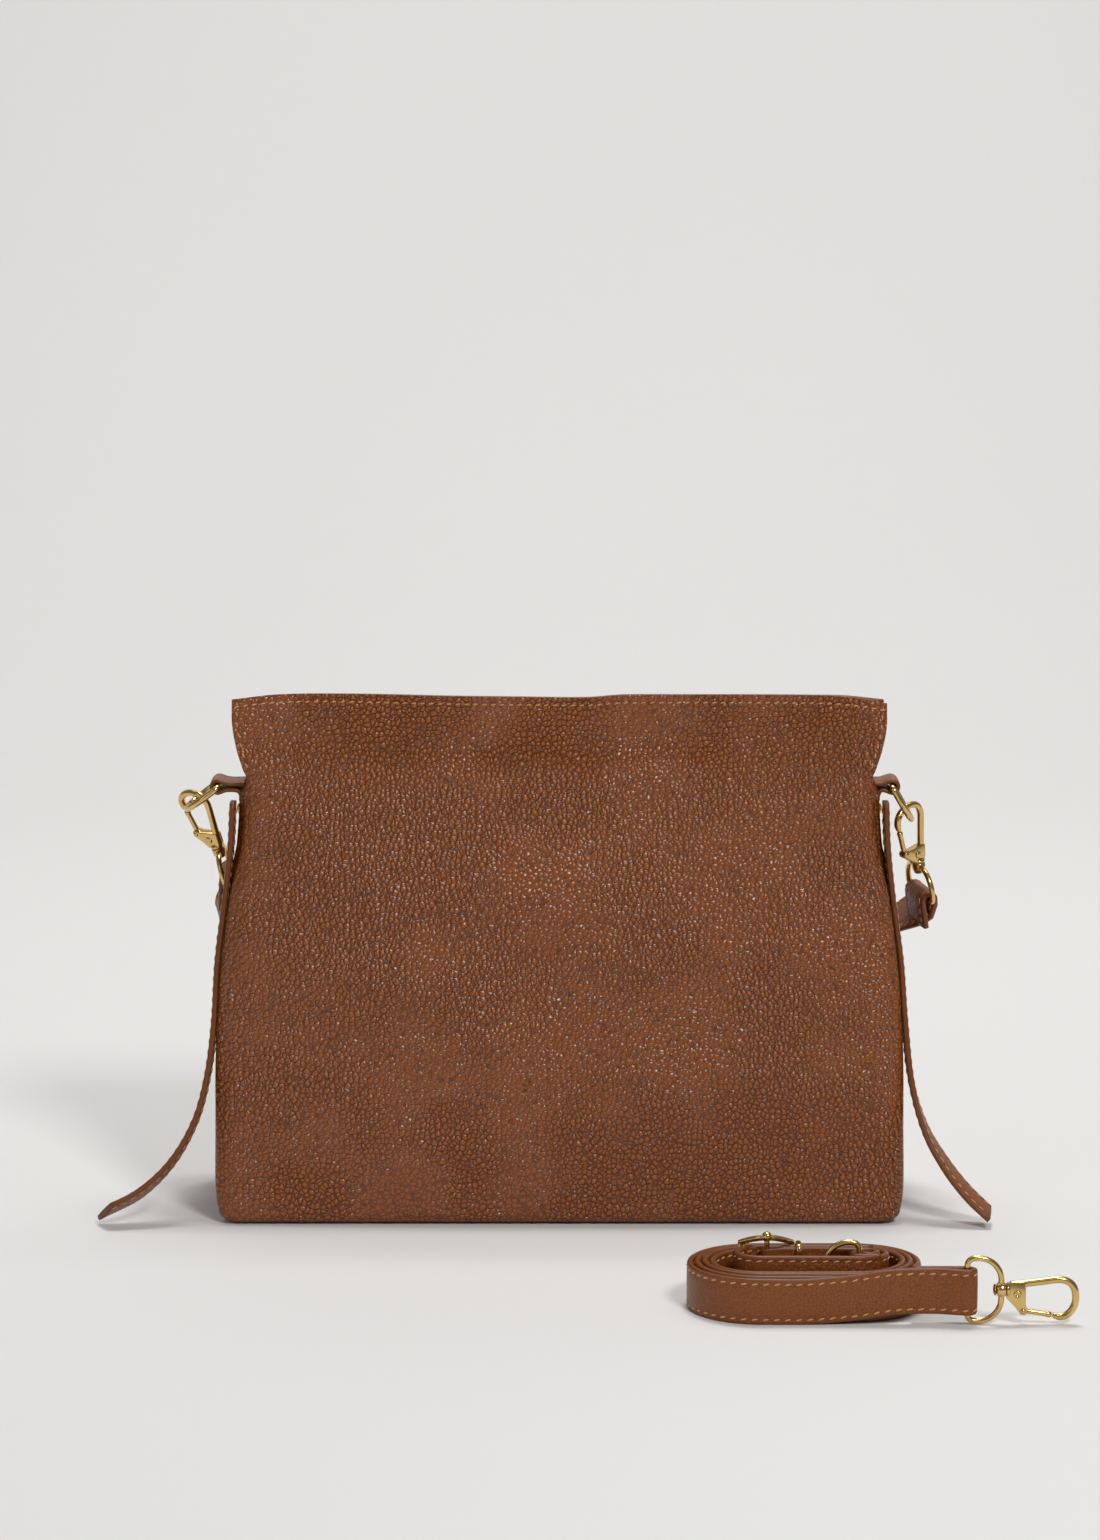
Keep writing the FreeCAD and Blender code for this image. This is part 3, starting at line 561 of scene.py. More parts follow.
def side_wall(name, sign):
    """Side of the bag. It draws in a little towards the top, as the bag closes."""
    def place(y, z, depth):
        return Vector((sign * (side_skin(y, z) - depth), y, z + 0.3))

    sheet = rolled_sheet(lambda z: half_depth(z) - SEAM_BACK, 0.0, GUSSET_TOP - 1.0, place, SIDE_ROLL)
    piece(name + "_side_hide", sheet, [PANEL_HIDE, EDGE_PAINT], "bag",
          [name + "_gusset"], closed=False, outward=X * sign, wall=HIDE_THICK, round_edge=0.4)


def base():
    """Base, whose edges turn up into the seams."""
    half_x, half_y = HALF_WIDTHS[0] - 6.5, BASE_DEPTH / 2 - 8.0
    sheet = rolled_sheet(lambda y: half_x, -half_y, half_y, lambda x, y, depth: Vector((x, y, 0.25 + depth)),
                         BASE_ROLL, both_ends=True)
    piece("base_hide", sheet, [PANEL_HIDE, EDGE_PAINT], "bag", ["base_panel"],
          closed=False, outward=-Z, wall=HIDE_THICK, round_edge=0.4)


for side in SIDES:
    panel(side)
for name, sign in (("left", -1), ("right", 1)):
    side_wall(name, sign)
base()
print("shell triangles:", sum(len(p.data.polygons) * 2 for p in PIECES.values()))


# %% [markdown]
# ## Inside of the bag
# A band of the same leather faces the rim inside, and below it hangs a twill lining that is a
# little too big for the bag, as linings are, so it puckers. A slip pocket is sewn to its back.
# These are single sheets that follow the panels at a given depth, so they share one function.

# %% Facings, linings and pocket
FACING_LOW = 200.0
FACING_THICK, LINING_THICK, POCKET_THICK = 1.1, 0.6, 0.9
POCKET_SIZE = (150.0, 62.0, 167.0)      # width, bottom and top
EDGE_ROOM = 6.0                         # inner sheets end this far from the panels' edges
SEAM_AIR = 0.15
FLOOR_LINING_Z = 6.4


def flat_sheet(half, low, high, place, step=4.0):
    rows = spaced(low, high, step)
    shares = spaced(-1, 1, 2 * step / (2 * half((low + high) / 2)))
    points = [place(share * half(z), z) for z in rows for share in shares]
    return points, grid_faces(len(rows), len(shares)), None


def pucker(a, z, seed):
    """How far a loose lining stands in from the hide, in millimetres."""
    return 1.1 * (1 + noise.noise(Vector((a / 26, z / 38, seed))))


def inner_sheets(side):
    sign = SIDES[side][0]
    first = HIDE_THICK + SEAM_AIR

    def facing_at(x, z):
        lift = (rim_height(side, x) - BAG_TOP) * ease(z, 205, BAG_TOP)
        return Vector((x, sign * (skin(side, x, z) - first), z + lift + 0.1))

    def lining_at(x, z):
        return Vector((x, sign * (skin(side, x, z) - first - pucker(x, z, sign)), z))

    sheet = flat_sheet(lambda z: half_width(z) - EDGE_ROOM / 2, FACING_LOW, BAG_TOP, facing_at, 3.0)
    piece(side + "_facing_hide", sheet, [PANEL_HIDE, EDGE_PAINT], "bag",
          [side + "_facing"], closed=False, outward=Y * sign, wall=FACING_THICK, round_edge=0.25)
    sheet = flat_sheet(lambda z: half_width(z) - EDGE_ROOM, 7.0, FACING_LOW + 3, lining_at)
    piece(side + "_lining_cotton", sheet, [LINING], "bag", [side + "_lining"],
          closed=False, outward=Y * sign, wall=LINING_THICK)


def side_lining(name, sign):
    depth = SIDE_IN + HIDE_THICK + SEAM_AIR + 2.2

    def place(y, z):
        return Vector((sign * (half_width(z) - depth - pucker(y, z, 9 * sign)), y, z))

    sheet = flat_sheet(lambda z: half_depth(z) - 5, 7.0, GUSSET_TOP - 2, place)
    piece(name + "_side_lining", sheet, [LINING], "bag", [name + "_gusset_lining"],
          closed=False, outward=X * sign, wall=LINING_THICK)


def floor_lining():
    half_x, half_y = HALF_WIDTHS[0] - 6, BASE_DEPTH / 2 - 6
    sheet = flat_sheet(lambda y: half_x, -half_y, half_y,
                       lambda x, y: Vector((x, y, FLOOR_LINING_Z - pucker(x, y, 3) / 3)))
    piece("floor_lining", sheet, [LINING], "bag", ["base_lining"],
          closed=False, outward=-Z, wall=LINING_THICK)


def slip_pocket():
    width, low, high = POCKET_SIZE
    depth = HIDE_THICK + 4.6

    def place(x, z):
        gape = 1.6 * ease(z, low, high) * (1 - (2 * x / width) ** 2)
        return Vector((x, skin("back", x, z) - depth - gape, z))

    piece("slip_pocket", flat_sheet(lambda z: width / 2, low, high, place), [LINING], "bag",
          ["inner_pocket"], closed=False, outward=-Y, wall=POCKET_THICK, round_edge=0.2)


for side in SIDES:
    inner_sheets(side)
for name, sign in (("left", -1), ("right", 1)):
    side_lining(name, sign)
floor_lining()
slip_pocket()
print("pieces so far:", len(PIECES))


# %% [markdown]
# ## Straps
# A strap is two layers of hide glued and sewn together. Its section is flat with slightly
# crowned faces, a shallow channel where each row of stitches pulls it in, and domed painted
# edges. The section is carried along the strap's line. Each station of that line is a point and
# the direction that the strap's width runs in.

# %% Straps as bands
BAND_STEP = 2.4         # mm between sections
STITCH_INSET = 2.3      # mm from a strap's edge to its stitches
CHANNEL = 0.22          # mm that a row of stitches pulls the face in
STITCH_SINK = 0.1       # mm that a stitch's middle lies below the face


def smooth_line(stations, step=BAND_STEP):
    """Evenly spaced stations on a smooth curve through the given ones."""
    points = [Vector(p) for p, _ in stations]
    gaps = [(b - a).length for a, b in zip(points, points[1:])]
    tangents = []
    for i in range(len(points)):
        a, b = max(i - 1, 0), min(i + 1, len(points) - 1)
        tangents.append((points[b] - points[a]) / sum(gaps[a:b]))
    line = []
    for i, gap in enumerate(gaps):
        count = max(1, round(gap / step))
        for k in range(count):
            t = k / count
            at = ((2 * t ** 3 - 3 * t ** 2 + 1) * points[i] + (t ** 3 - 2 * t ** 2 + t) * gap * tangents[i]
                  + (3 * t ** 2 - 2 * t ** 3) * points[i + 1] + (t ** 3 - t ** 2) * gap * tangents[i + 1])
            line.append((at, Vector(stations[i][1]).lerp(Vector(stations[i + 1][1]), t)))
    line.append((points[-1], Vector(stations[-1][1])))
    return line


def framed(line):
    """Each point of a line with its directions along, across and through the strap."""
    frames = []
    for i, (at, across) in enumerate(line):
        a, b = line[max(i - 1, 0)][0], line[min(i + 1, len(line) - 1)][0]
        along = (b - a).normalized()
        across = (across - along * across.dot(along)).normalized()
        frames.append((at, along, across, along.cross(across)))
    return frames


def band_section(width, thick):
    """Closed outline of a strap's section as (across, through), and which of its sides are edges."""
    half, crown, dome = width / 2, thick / 2, thick * 0.3
    row = half - STITCH_INSET
    face = [(half - dome, crown - 0.12), (row + 0.7, crown), (row, crown - CHANNEL), (row - 0.7, crown),
            (row / 2, crown + 0.08), (0, crown + 0.1)]
    face += [(-w, t) for w, t in reversed(face[:-1])]
    edge = []
    for step in range(1, 6):
        a = math.radians(90 - 30 * step)
        edge.append((-half + dome - dome * math.cos(a), (crown - 0.12) * math.sin(a)))
    outline = face + edge + [(-w, -t) for w, t in face] + [(-w, -t) for w, t in edge]
    is_edge = [len(face) - 1 <= k % (len(face) + len(edge)) for k in range(len(outline))]
    return outline, is_edge


def band(frames, width, thick, taper=None, slant=0.0):
    """Strap along a list of frames. Taper gives the share of the thickness at a share of the length,
    and slant is how far the end is cut off at an angle, in mm."""
    outline, is_edge = band_section(width, thick)
    count, last = len(outline), len(frames) - 1
    cut_steps = 16 / BAND_STEP
    points, faces, numbers = [], [], []
    for i, (at, along, across, through) in enumerate(frames):
        share = taper(i / last) if taper else 1
        cut = slant * ease(i, last - cut_steps, last) / (width / 2)
        points += [at + across * w + through * (t * share) + along * (w * cut) for w, t in outline]
    for i in range(last):
        for k in range(count):
            n = (k + 1) % count
            faces.append((i * count + k, i * count + n, (i + 1) * count + n, (i + 1) * count + k))
            numbers.append(1 if is_edge[k] else 0)
    faces += [tuple(range(count)), tuple(range(last * count, (last + 1) * count))]
    return points, faces, numbers + [1, 1]


def stitch_rows(frames, width, thick, faces=(1, -1), skip=2):
    """Rows of stitches near both edges of a strap, on one face or both, as (point, outward)."""
    rows = []
    for face in faces:
        for edge in (-1, 1):
            aside, out = edge * (width / 2 - STITCH_INSET), face * (thick / 2 - STITCH_SINK)
            rows.append([(at + across * aside + through * out, through * face)
                         for at, _, across, through in frames[skip:-skip]])
    return rows


def hitch(bar, axis, toward, room, flap, gap, flap_side=1):
    """Stations of a strap's end that is folded round a bar: the flap's end, the fold, and the
    start of the strap itself, which leaves in the direction toward."""
    toward = (toward - axis * toward.dot(axis)).normalized()
    aside = axis.cross(toward) * flap_side
    stations = [bar + toward * s + aside * gap for s in spaced(flap, 9, 5)]
    stations += [bar + toward * 4.5 + aside * (room + gap) / 2]
    for step in range(7):
        a = math.radians(90 - 30 * step)
        stations.append(bar + aside * (room * math.sin(a)) - toward * (room * math.cos(a)))
    stations.append(bar + toward * 5 - aside * room * 0.6)
    return [(at, axis) for at in stations]


STITCHES = {}       # rows of stitches on each body
print("strap section has", len(band_section(20, 2.8)[0]), "points")


# %% [markdown]
# ### The rolled crossbody strap
# The strap is rolled from its tongue outwards into flat turns that lie against each other. Its
# line is worked out turn by turn: a straight run, a half circle, a straight run back and a half
# circle that steps in to the next turn. The outer end leaves the roll and lifts off the floor,
# because its hook's eye is taller than the strap is wide. There the strap is folded round the
# eye's bar.

# %% Crossbody strap
STRAP_WIDTH, STRAP_THICK = 20.0, 2.8
EYE_WIRE = 1.3
ROLL_X, ROLL_Y = 104.5, -186.8
ROLL_LEFT, ROLL_RIGHT = -19.5, 21.0
TURNS = (29.3, 26.1, 22.9, 19.7, 9.0)
TURN_LIFTS = (0.0, 0.4, 0.9, 0.6)           # mm that each lying turn stands off the floor
RAISE = 4.6                                 # mm that the two ends are lifted by their hardware
TONGUE_END, OUTER_EYE = 30.0, 67.5
FOLD_ROOM = EYE_WIRE + 0.3 + STRAP_THICK / 2    # from a bar's middle to the strap's


def roll_point(x, y, lift):
    return Vector((ROLL_X + x, ROLL_Y + y, lift + STRAP_WIDTH / 2))


def half_circle(x, y_a, y_b, to_left, lift_a, lift_b):
    centre, radius = (y_a + y_b) / 2, (y_b - y_a) / 2
    points = []
    for step in range(1, 16):
        a = math.radians(180 * step / 16)
        out = -abs(radius) * math.sin(a) if to_left else abs(radius) * math.sin(a)
        lift = lift_a + (lift_b - lift_a) * step / 16
        points.append(roll_point(x + out, centre - radius * math.cos(a), lift))
    return points


def crossbody_line():
    """The strap's line, from the flap at its outer end to its tongue."""
    front = -TURNS[0]
    bar = roll_point(OUTER_EYE, front, RAISE)
    stations = hitch(bar, Z, -X, FOLD_ROOM, 23.5, STRAP_THICK + 0.3, flap_side=-1)
    points = [roll_point(x, front, RAISE * ease(x, 4, 44)) for x in spaced(54, ROLL_RIGHT, 3)]
    lifts = TURN_LIFTS + (RAISE,)
    for index, turn in enumerate(TURNS):
        lift = lifts[index]
        last = index == len(TURNS) - 1
        start_lift = RAISE * ease(ROLL_RIGHT, 4, 44) if index == 0 else lift
        points += [roll_point(x, -turn, lift + (start_lift - lift) * ease(x, 4, ROLL_RIGHT))
                   for x in spaced(ROLL_RIGHT, ROLL_LEFT, 3)[1:]]
        points += half_circle(ROLL_LEFT, -turn, turn, True, lift, lift)
        end = TONGUE_END if last else ROLL_RIGHT
        points += [roll_point(x, turn, lift) for x in spaced(ROLL_LEFT, end, 3)]
        if not last:
            points += half_circle(ROLL_RIGHT, turn, -TURNS[index + 1], False, lift, lifts[index + 1])
    return stations + [(at, Z) for at in points]


crossbody = framed(smooth_line(crossbody_line()))
piece("crossbody_strap_hide", band(crossbody, STRAP_WIDTH, STRAP_THICK), [STRAP_HIDE, EDGE_PAINT],
      "crossbody_strap", ["crossbody_strap"])
STITCHES["crossbody_strap"] = stitch_rows(crossbody, STRAP_WIDTH, STRAP_THICK)
crossbody_length = sum((b[0] - a[0]).length for a, b in zip(crossbody, crossbody[1:]))
print("crossbody strap:", round(crossbody_length), "mm of leather")


# %% [markdown]
# ### The buckle strap
# The crossbody strap's other hook hangs on a short strap that carries the buckle. It turns back
# on itself inside the roll. Round the buckle's bar it is thinned, so that its two layers
# together are as thick as the strap.

# %% Buckle strap
INNER_EYE, INNER_LINE, INNER_TURN, BUCKLE_LINE, BUCKLE_X = 23.5, -2.8, 27.0, 4.7, -15.75
BUCKLE_ROOM = 2.3       # from the buckle bar's middle to the thinned strap's
THIN_SHARE = 0.5


def buckle_line():
    bar = roll_point(INNER_EYE, INNER_LINE, RAISE)
    stations = hitch(bar, -Z, X, FOLD_ROOM, 4, FOLD_ROOM)[2:-1]
    turn = half_circle(INNER_TURN, INNER_LINE - 0.6, BUCKLE_LINE, False, RAISE, RAISE)
    points = turn + [roll_point(x, BUCKLE_LINE, RAISE) for x in spaced(INNER_TURN, BUCKLE_X + 15, 4)]
    points += [roll_point(BUCKLE_X + x, BUCKLE_LINE - 0.75, RAISE) for x in (10.5, 6.5)]
    for step in range(7):
        a = math.radians(-90 - 30 * step)
        points.append(roll_point(BUCKLE_X + BUCKLE_ROOM * math.cos(a),
                                 BUCKLE_LINE + BUCKLE_ROOM * math.sin(a), RAISE))
    points += [roll_point(BUCKLE_X + x, BUCKLE_LINE + 0.75, RAISE) for x in (6.5, 10.5, 14.5)]
    return [(at, -s) for at, s in stations] + [(at, Z) for at in points]


buckle = framed(smooth_line(buckle_line(), 1.6))
buckle_strap = band(buckle, STRAP_WIDTH, STRAP_THICK,
                    lambda share: 1 - (1 - THIN_SHARE) * ease(share, 0.5, 0.62))
piece("buckle_strap_hide", buckle_strap, [STRAP_HIDE, EDGE_PAINT], "crossbody_strap",
      ["buckle_strap"])
print("buckle strap:", round(sum((b[0] - a[0]).length for a, b in zip(buckle, buckle[1:]))), "mm")


# %% [markdown]
# ### The short shoulder strap and the ties
# The shoulder strap hangs in a loose festoon behind the bag between its two hooks, and both its
# ends are folded round the hooks' eyes. The ties are long thin straps that are sewn on below the
# rings, hang down the sides and curve out onto the floor. They are cut, not rolled, so their
# lines are a few listed stations. Each hook's swivel is a joint in the record: its point
# and its axis say where the eye's bar is.

# %% Shoulder strap and ties
EYE_FAR = 16.7          # from a hook's swivel to the far bar of its eye
EYE_ACROSS = {"left": Vector((0.08, 0.98, 0)), "right": Vector((-0.3, 0.9, 0))}
TIE_WIDTH, TIE_THICK = 14.0, 2.6
TIE_LINES = {   # x, y, z, and how far the tie's width leans off level, in degrees
    "left": ((-149.4, -10.5, 189.5, 0), (-150.4, -11.5, 170, 0), (-153.0, -14, 146, 0),
             (-156.4, -19, 118, 0), (-158.0, -25, 90, 0), (-161.0, -31, 66, 5), (-166.5, -37, 46, 12),
             (-177.0, -43, 28, 20), (-191.0, -48, 15, 25), (-207.0, -52, 7.2, 25)),
    "right": ((149.4, -10.5, 189.5, 0), (150.2, -11.5, 170, 0), (152.6, -14, 146, 0),
              (156.2, -19, 118, 0), (158.2, -25, 90, 0), (161.4, -31, 62, -6), (167.5, -37, 42, -14),
              (177.0, -43, 26, -20), (186.5, -47, 14.4, -20), (196.0, -50, 5.6, -18))}
TIE_CUTS = {"left": 4.0, "right": -2.0}     # slant of each tie's end, in mm
JOINTS = {joint["name"]: joint for joint in frame["joints"]}


def hook_place(place):
    """A hook's own frame in mm: x from the swivel to the tip, z out of its face."""
    swivel, gate = JOINTS[place + "_hook_swivel"], JOINTS[place + "_gate_hinge"]
    along, normal = Vector(swivel["axis"]).normalized(), Vector(gate["axis"]).normalized()
    across = normal.cross(along)
    at = Vector(swivel["pos_m"]) / MM
    return Matrix((along, across, normal)).transposed().to_4x4(), at


def eye_place(place):
    """An eye's frame: as its hook's, but for the clipped hooks turned so that its bar lies level."""
    turned, at = hook_place(place)
    along = turned.col[0].to_3d()
    if place in EYE_ACROSS:
        normal = along.cross(EYE_ACROSS[place]).normalized()
        turned = Matrix((along, normal.cross(along), normal)).transposed().to_4x4()
    return Matrix.Translation(at) @ turned


def shoulder_line():
    ends = {}
    for side, sign in (("left", -1), ("right", 1)):
        eye = eye_place(side)
        bar = eye @ Vector((-EYE_FAR, 0, 0))
        axis = eye.col[1].to_3d()
        axis = axis if axis.y > 0 else -axis
        path = [(Vector((158 * sign, 38, 126)), Vector((0.25 * sign, 0.6, 0.6))),
                (Vector((145 * sign, 52, 109)), Vector((0.15 * sign, 0.2, 0.9))),
                (Vector((112 * sign, 60, 88)), Vector((0.25 * sign, 0, 0.95))),
                (Vector((60 * sign, 65, 68)), Vector((0.25 * sign, 0, 1)))]
        start = hitch(bar, axis, Vector((0.5 * sign, 5, -9)), FOLD_ROOM, 13, STRAP_THICK + 0.4)
        start = [(at, axis) for at, _ in start]
        ends[side] = start + path
    return ends["left"] + [(Vector((0, 66.5, 61)), Z)] + list(reversed(ends["right"]))


shoulder = framed(smooth_line(shoulder_line()))
piece("shoulder_strap_hide", band(shoulder, STRAP_WIDTH, STRAP_THICK), [STRAP_HIDE, EDGE_PAINT],
      "shoulder_strap", ["shoulder_strap"])
STITCHES["shoulder_strap"] = stitch_rows(shoulder, STRAP_WIDTH, STRAP_THICK)
print("shoulder strap:", round(sum((b[0] - a[0]).length for a, b in zip(shoulder, shoulder[1:]))), "mm")

for side, line in TIE_LINES.items():
    stations = [(Vector((x, y, z)), Vector((0, math.cos(math.radians(lean)), -math.sin(math.radians(lean)))))
                for x, y, z, lean in line]
    tie = framed(smooth_line(stations))
    piece(side + "_tie_hide", band(tie, TIE_WIDTH, TIE_THICK, slant=TIE_CUTS[side]), [STRAP_HIDE, EDGE_PAINT],
          side + "_tie", [side + "_tie"])
    STITCHES[side + "_tie"] = stitch_rows(tie, TIE_WIDTH, TIE_THICK)
    print(side, "tie:", round(sum((b[0] - a[0]).length for a, b in zip(tie, tie[1:]))), "mm")


# %% [markdown]
# ### The ring tabs
# Each ring is held by a strip of leather that comes down over the side, runs round the ring's
# bar and is sewn and riveted flat below it. A domed brass rivet goes through the lower leg.

# %% Ring tabs and rivets
TAB_WIDTH, TAB_THICK = 18.0, 2.0
RING_WIRE = 1.5
TAB_ROOM = RING_WIRE + 0.3 + TAB_THICK / 2
TAB_NECK = 4.2          # from the ring's bar to where the tab's two layers meet
TAB_LENGTH = 24.0
RIVET_Z, RIVET_Y = 184.0, 4.0
RIVET_DOME = ((0, 1.9), (1.0, 1.8), (2.0, 1.4), (2.7, 0.8), (3.0, 0.2), (3.0, -0.3), (0, -0.3))
LATHE_STEPS = 28


def lathe(profile, steps=LATHE_STEPS):
    """Turned shape about the x axis from a profile of (radius, x), from pole to pole."""
    points, faces = [], []
    rings = [p for p in profile if p[0] > 0]
    for radius, x in rings:
        for step in range(steps):
            a = 2 * math.pi * step / steps
            points.append(Vector((x, radius * math.cos(a), radius * math.sin(a))))
    for r in range(len(rings) - 1):
        for k in range(steps):
            n = (k + 1) % steps
            faces.append((r * steps + k, r * steps + n, (r + 1) * steps + n, (r + 1) * steps + k))
    for pole, ring in ((profile[0], 0), (profile[-1], len(rings) - 1)):
        points.append(Vector((pole[1], 0, 0)))
        faces += [(ring * steps + k, ring * steps + (k + 1) % steps, len(points) - 1) for k in range(steps)]
    return points, faces, None


def ring_tab(side):
    """Tab: it comes out of the side above the bar, runs round the bar, pinches, and goes down."""
    sign = -1 if side == "left" else 1
    bar = Vector(JOINTS[side + "_ring_swing"]["pos_m"]) / MM

    def against(z, room):
        return Vector((sign * (side_skin(0, z) + TAB_THICK / 2 + room), 0, z))

    neck = bar.x - sign * TAB_NECK
    stations = [against(bar.z + 1.4, -0.6), against(bar.z + 1.3, 2.2), Vector((neck, 0, bar.z + 1.5))]
    for step in range(7):
        a = math.radians(90 - 30 * step)
        stations.append(bar + Vector((sign * TAB_ROOM * math.cos(a), 0, TAB_ROOM * math.sin(a))))
    stations += [Vector((neck, 0, bar.z - 1.5)), against(bar.z - 2.2, 1.6)]
    stations += [against(z, 0.2) for z in spaced(bar.z - TAB_ROOM - 4, bar.z + TAB_ROOM - TAB_LENGTH, 4)]
    frames = framed(smooth_line([(at, Y) for at in stations], 0.8))
    piece(side + "_ring_tab_hide", band(frames, TAB_WIDTH, TAB_THICK), [STRAP_HIDE, EDGE_PAINT], "bag",
          [side + "_ring_tab"])
    leg = [f for f in frames if f[0].z < bar.z - TAB_ROOM - 2]
    return stitch_rows(leg, TAB_WIDTH, TAB_THICK, skip=1)


STITCHES["bag"] = []
rivets = []
for side, sign in (("left", -1), ("right", 1)):
    STITCHES["bag"] += ring_tab(side)
    face = side_skin(RIVET_Y, RIVET_Z) + TAB_THICK + 0.3
    turn = Matrix.Rotation(0 if sign > 0 else math.pi, 4, "Z")
    rivets.append(moved(lathe(RIVET_DOME), Matrix.Translation((sign * face, RIVET_Y, RIVET_Z)) @ turn))
piece("tab_rivet_domes", merged(*rivets), [BRASS], "bag", ["tab_rivets"])
print("tabs and rivets are in place")


# %% [markdown]
# ## Snap hooks
# A snap hook is cast in zinc and plated. Its bow is a bar bent round from the swivel's collar to
# a nose, and a straight gate closes it, turning on a rivet between two cheeks where a small
# spring pushes it shut. A post with a peened head lets the hook turn in its eye, the wire loop
# that the strap is folded round. Each of these is swept, turned or cut as the real one is formed,
# in the hook's own frame, and then placed at all four hooks.

# %% Hook parts
TUBE_SIDES = 14
BOW_PATH = ((1.5, 2.2), (8.0, 2.7), (15.5, 3.6), (21.0, 4.3), (24.0, 4.2), (26.8, 2.9), (28.6, 0.4),
            (29.2, -3.0), (28.8, -6.4), (27.3, -9.4), (25.0, -11.3), (22.4, -11.8), (20.2, -11.3),
            (19.4, -11.1))
BOW_RADIUS = 1.6
GATE_TIP = (19.0, -11.0)
CHEEKS = ((-0.2, -3.4), (-0.2, 2.6), (2.4, 3.5), (7.6, 3.9), (8.1, 2.6), (8.0, -5.8), (8.7, -8.4),
          (8.5, -10.2), (7.2, -10.9), (5.8, -10.2), (3.2, -7.0))
CHEEK_HALF = 1.9
CHEEK_RIVET = (4.4, -1.6)
PIVOT = (6.9, -9.1)
EYE_NEAR, EYE_HALF = 2.3, 13.6
POST_PROFILE = ((0, -5.9), (1.3, -5.8), (2.2, -5.4), (2.55, -4.9), (2.5, -4.55), (1.5, -4.4), (1.5, -0.3),
                (2.9, -0.1), (3.1, 0.5), (2.6, 1.4), (0, 1.6))
BOSS_PROFILE = ((1.62, -4.25), (2.6, -4.2), (3.0, -3.8), (3.15, -2.3), (3.0, -0.7), (2.6, -0.35),
                (1.62, -0.3))


def tube(path, radii, closed=False, sides=TUBE_SIDES, flatten=1.0):
    """Round bar along a path that lies in the xy plane. Flatten is its height for a width of 1."""
    points, faces, count = [], [], len(path)
    for i, at in enumerate(path):
        a = path[(i - 1) % count] if closed else path[max(i - 1, 0)]
        b = path[(i + 1) % count] if closed else path[min(i + 1, count - 1)]
        along = (Vector(b) - Vector(a)).normalized()
        side = Z.cross(along)
        radius = radii[i] if isinstance(radii, list) else radii
        for k in range(sides):
            angle = 2 * math.pi * k / sides
            points.append(Vector(at) + side * (radius * math.cos(angle))
                          + Z * (radius * flatten * math.sin(angle)))
    for i in range(count if closed else count - 1):
        j = (i + 1) % count
        for k in range(sides):
            n = (k + 1) % sides
            faces.append((i * sides + k, i * sides + n, j * sides + n, j * sides + k))
    if not closed:
        faces += [tuple(range(sides)), tuple(range((count - 1) * sides, count * sides))]
    return points, faces, None


def arc_points(centre, radius, start, end, steps):
    angles = [math.radians(start + (end - start) * i / steps) for i in range(steps + 1)]
    return [Vector((centre[0] + radius * math.cos(a), centre[1] + radius * math.sin(a), 0)) for a in angles]


def prism(outline, low, high):
    """Flat shape cut from a plate."""
    count = len(outline)
    points = [Vector((x, y, z)) for z in (low, high) for x, y in outline]
    faces = [(k, (k + 1) % count, count + (k + 1) % count, count + k) for k in range(count)]
    return points, faces + [tuple(range(count)), tuple(range(count, 2 * count))], None


def hook_shape():
    """Casting: the bow, the cheeks that hold the gate, and the post that turns in the eye."""
    path = [at for at, _ in smooth_line([(Vector((x, y, 0)), Z) for x, y in BOW_PATH], 1.0)]
    radii = [BOW_RADIUS] * (len(path) - 3) + [BOW_RADIUS * 0.92, BOW_RADIUS * 0.8, BOW_RADIUS * 0.62]
    rivet = moved(lathe(CHEEK_RIVET_PROFILE, 20), Matrix.Translation((*CHEEK_RIVET, 0)) @ FACE_OUT)
    return merged(tube(path, radii), prism(CHEEKS, -CHEEK_HALF, CHEEK_HALF), lathe(POST_PROFILE), rivet)


def gate_shape():
    """Gate: a straight bar from the pin to the nose, with a collar where it meets the nose."""
    start = Vector((PIVOT[0] + 1.5, PIVOT[1] - 0.1, 0))
    end = Vector((*GATE_TIP, 0))
    shares = spaced(0, 1, 0.08)
    path = [start.lerp(end, share) for share in shares]
    radii = [1.2 + 0.3 * math.exp(-((share - 0.88) / 0.07) ** 2) for share in shares]
    radii[-1] = 1.0
    return tube(path, radii)


PIN_HALF = CHEEK_HALF + 0.15
PIN_PROFILE = ((0, PIN_HALF + 0.5), (0.7, PIN_HALF + 0.4), (1.15, PIN_HALF + 0.1), (1.2, PIN_HALF),
               (0.9, PIN_HALF - 0.2), (0.9, 0.2 - PIN_HALF), (1.2, -PIN_HALF), (1.15, -PIN_HALF - 0.1),
               (0.7, -PIN_HALF - 0.4), (0, -PIN_HALF - 0.5))
CHEEK_RIVET_PROFILE = ((0, CHEEK_HALF + 0.25), (0.5, CHEEK_HALF + 0.35), (0.8, CHEEK_HALF + 0.75),
                       (1.2, CHEEK_HALF + 0.7), (1.7, CHEEK_HALF + 0.2), (1.7, -CHEEK_HALF - 0.2),
                       (1.2, -CHEEK_HALF - 0.7), (0, -CHEEK_HALF - 0.7))
FACE_OUT = Matrix.Rotation(-math.pi / 2, 4, "Y")        # turns a lathe's x axis to the hook's face


def rivet_shape():
    return moved(lathe(PIN_PROFILE, 18), Matrix.Translation((*PIVOT, 0)) @ FACE_OUT)


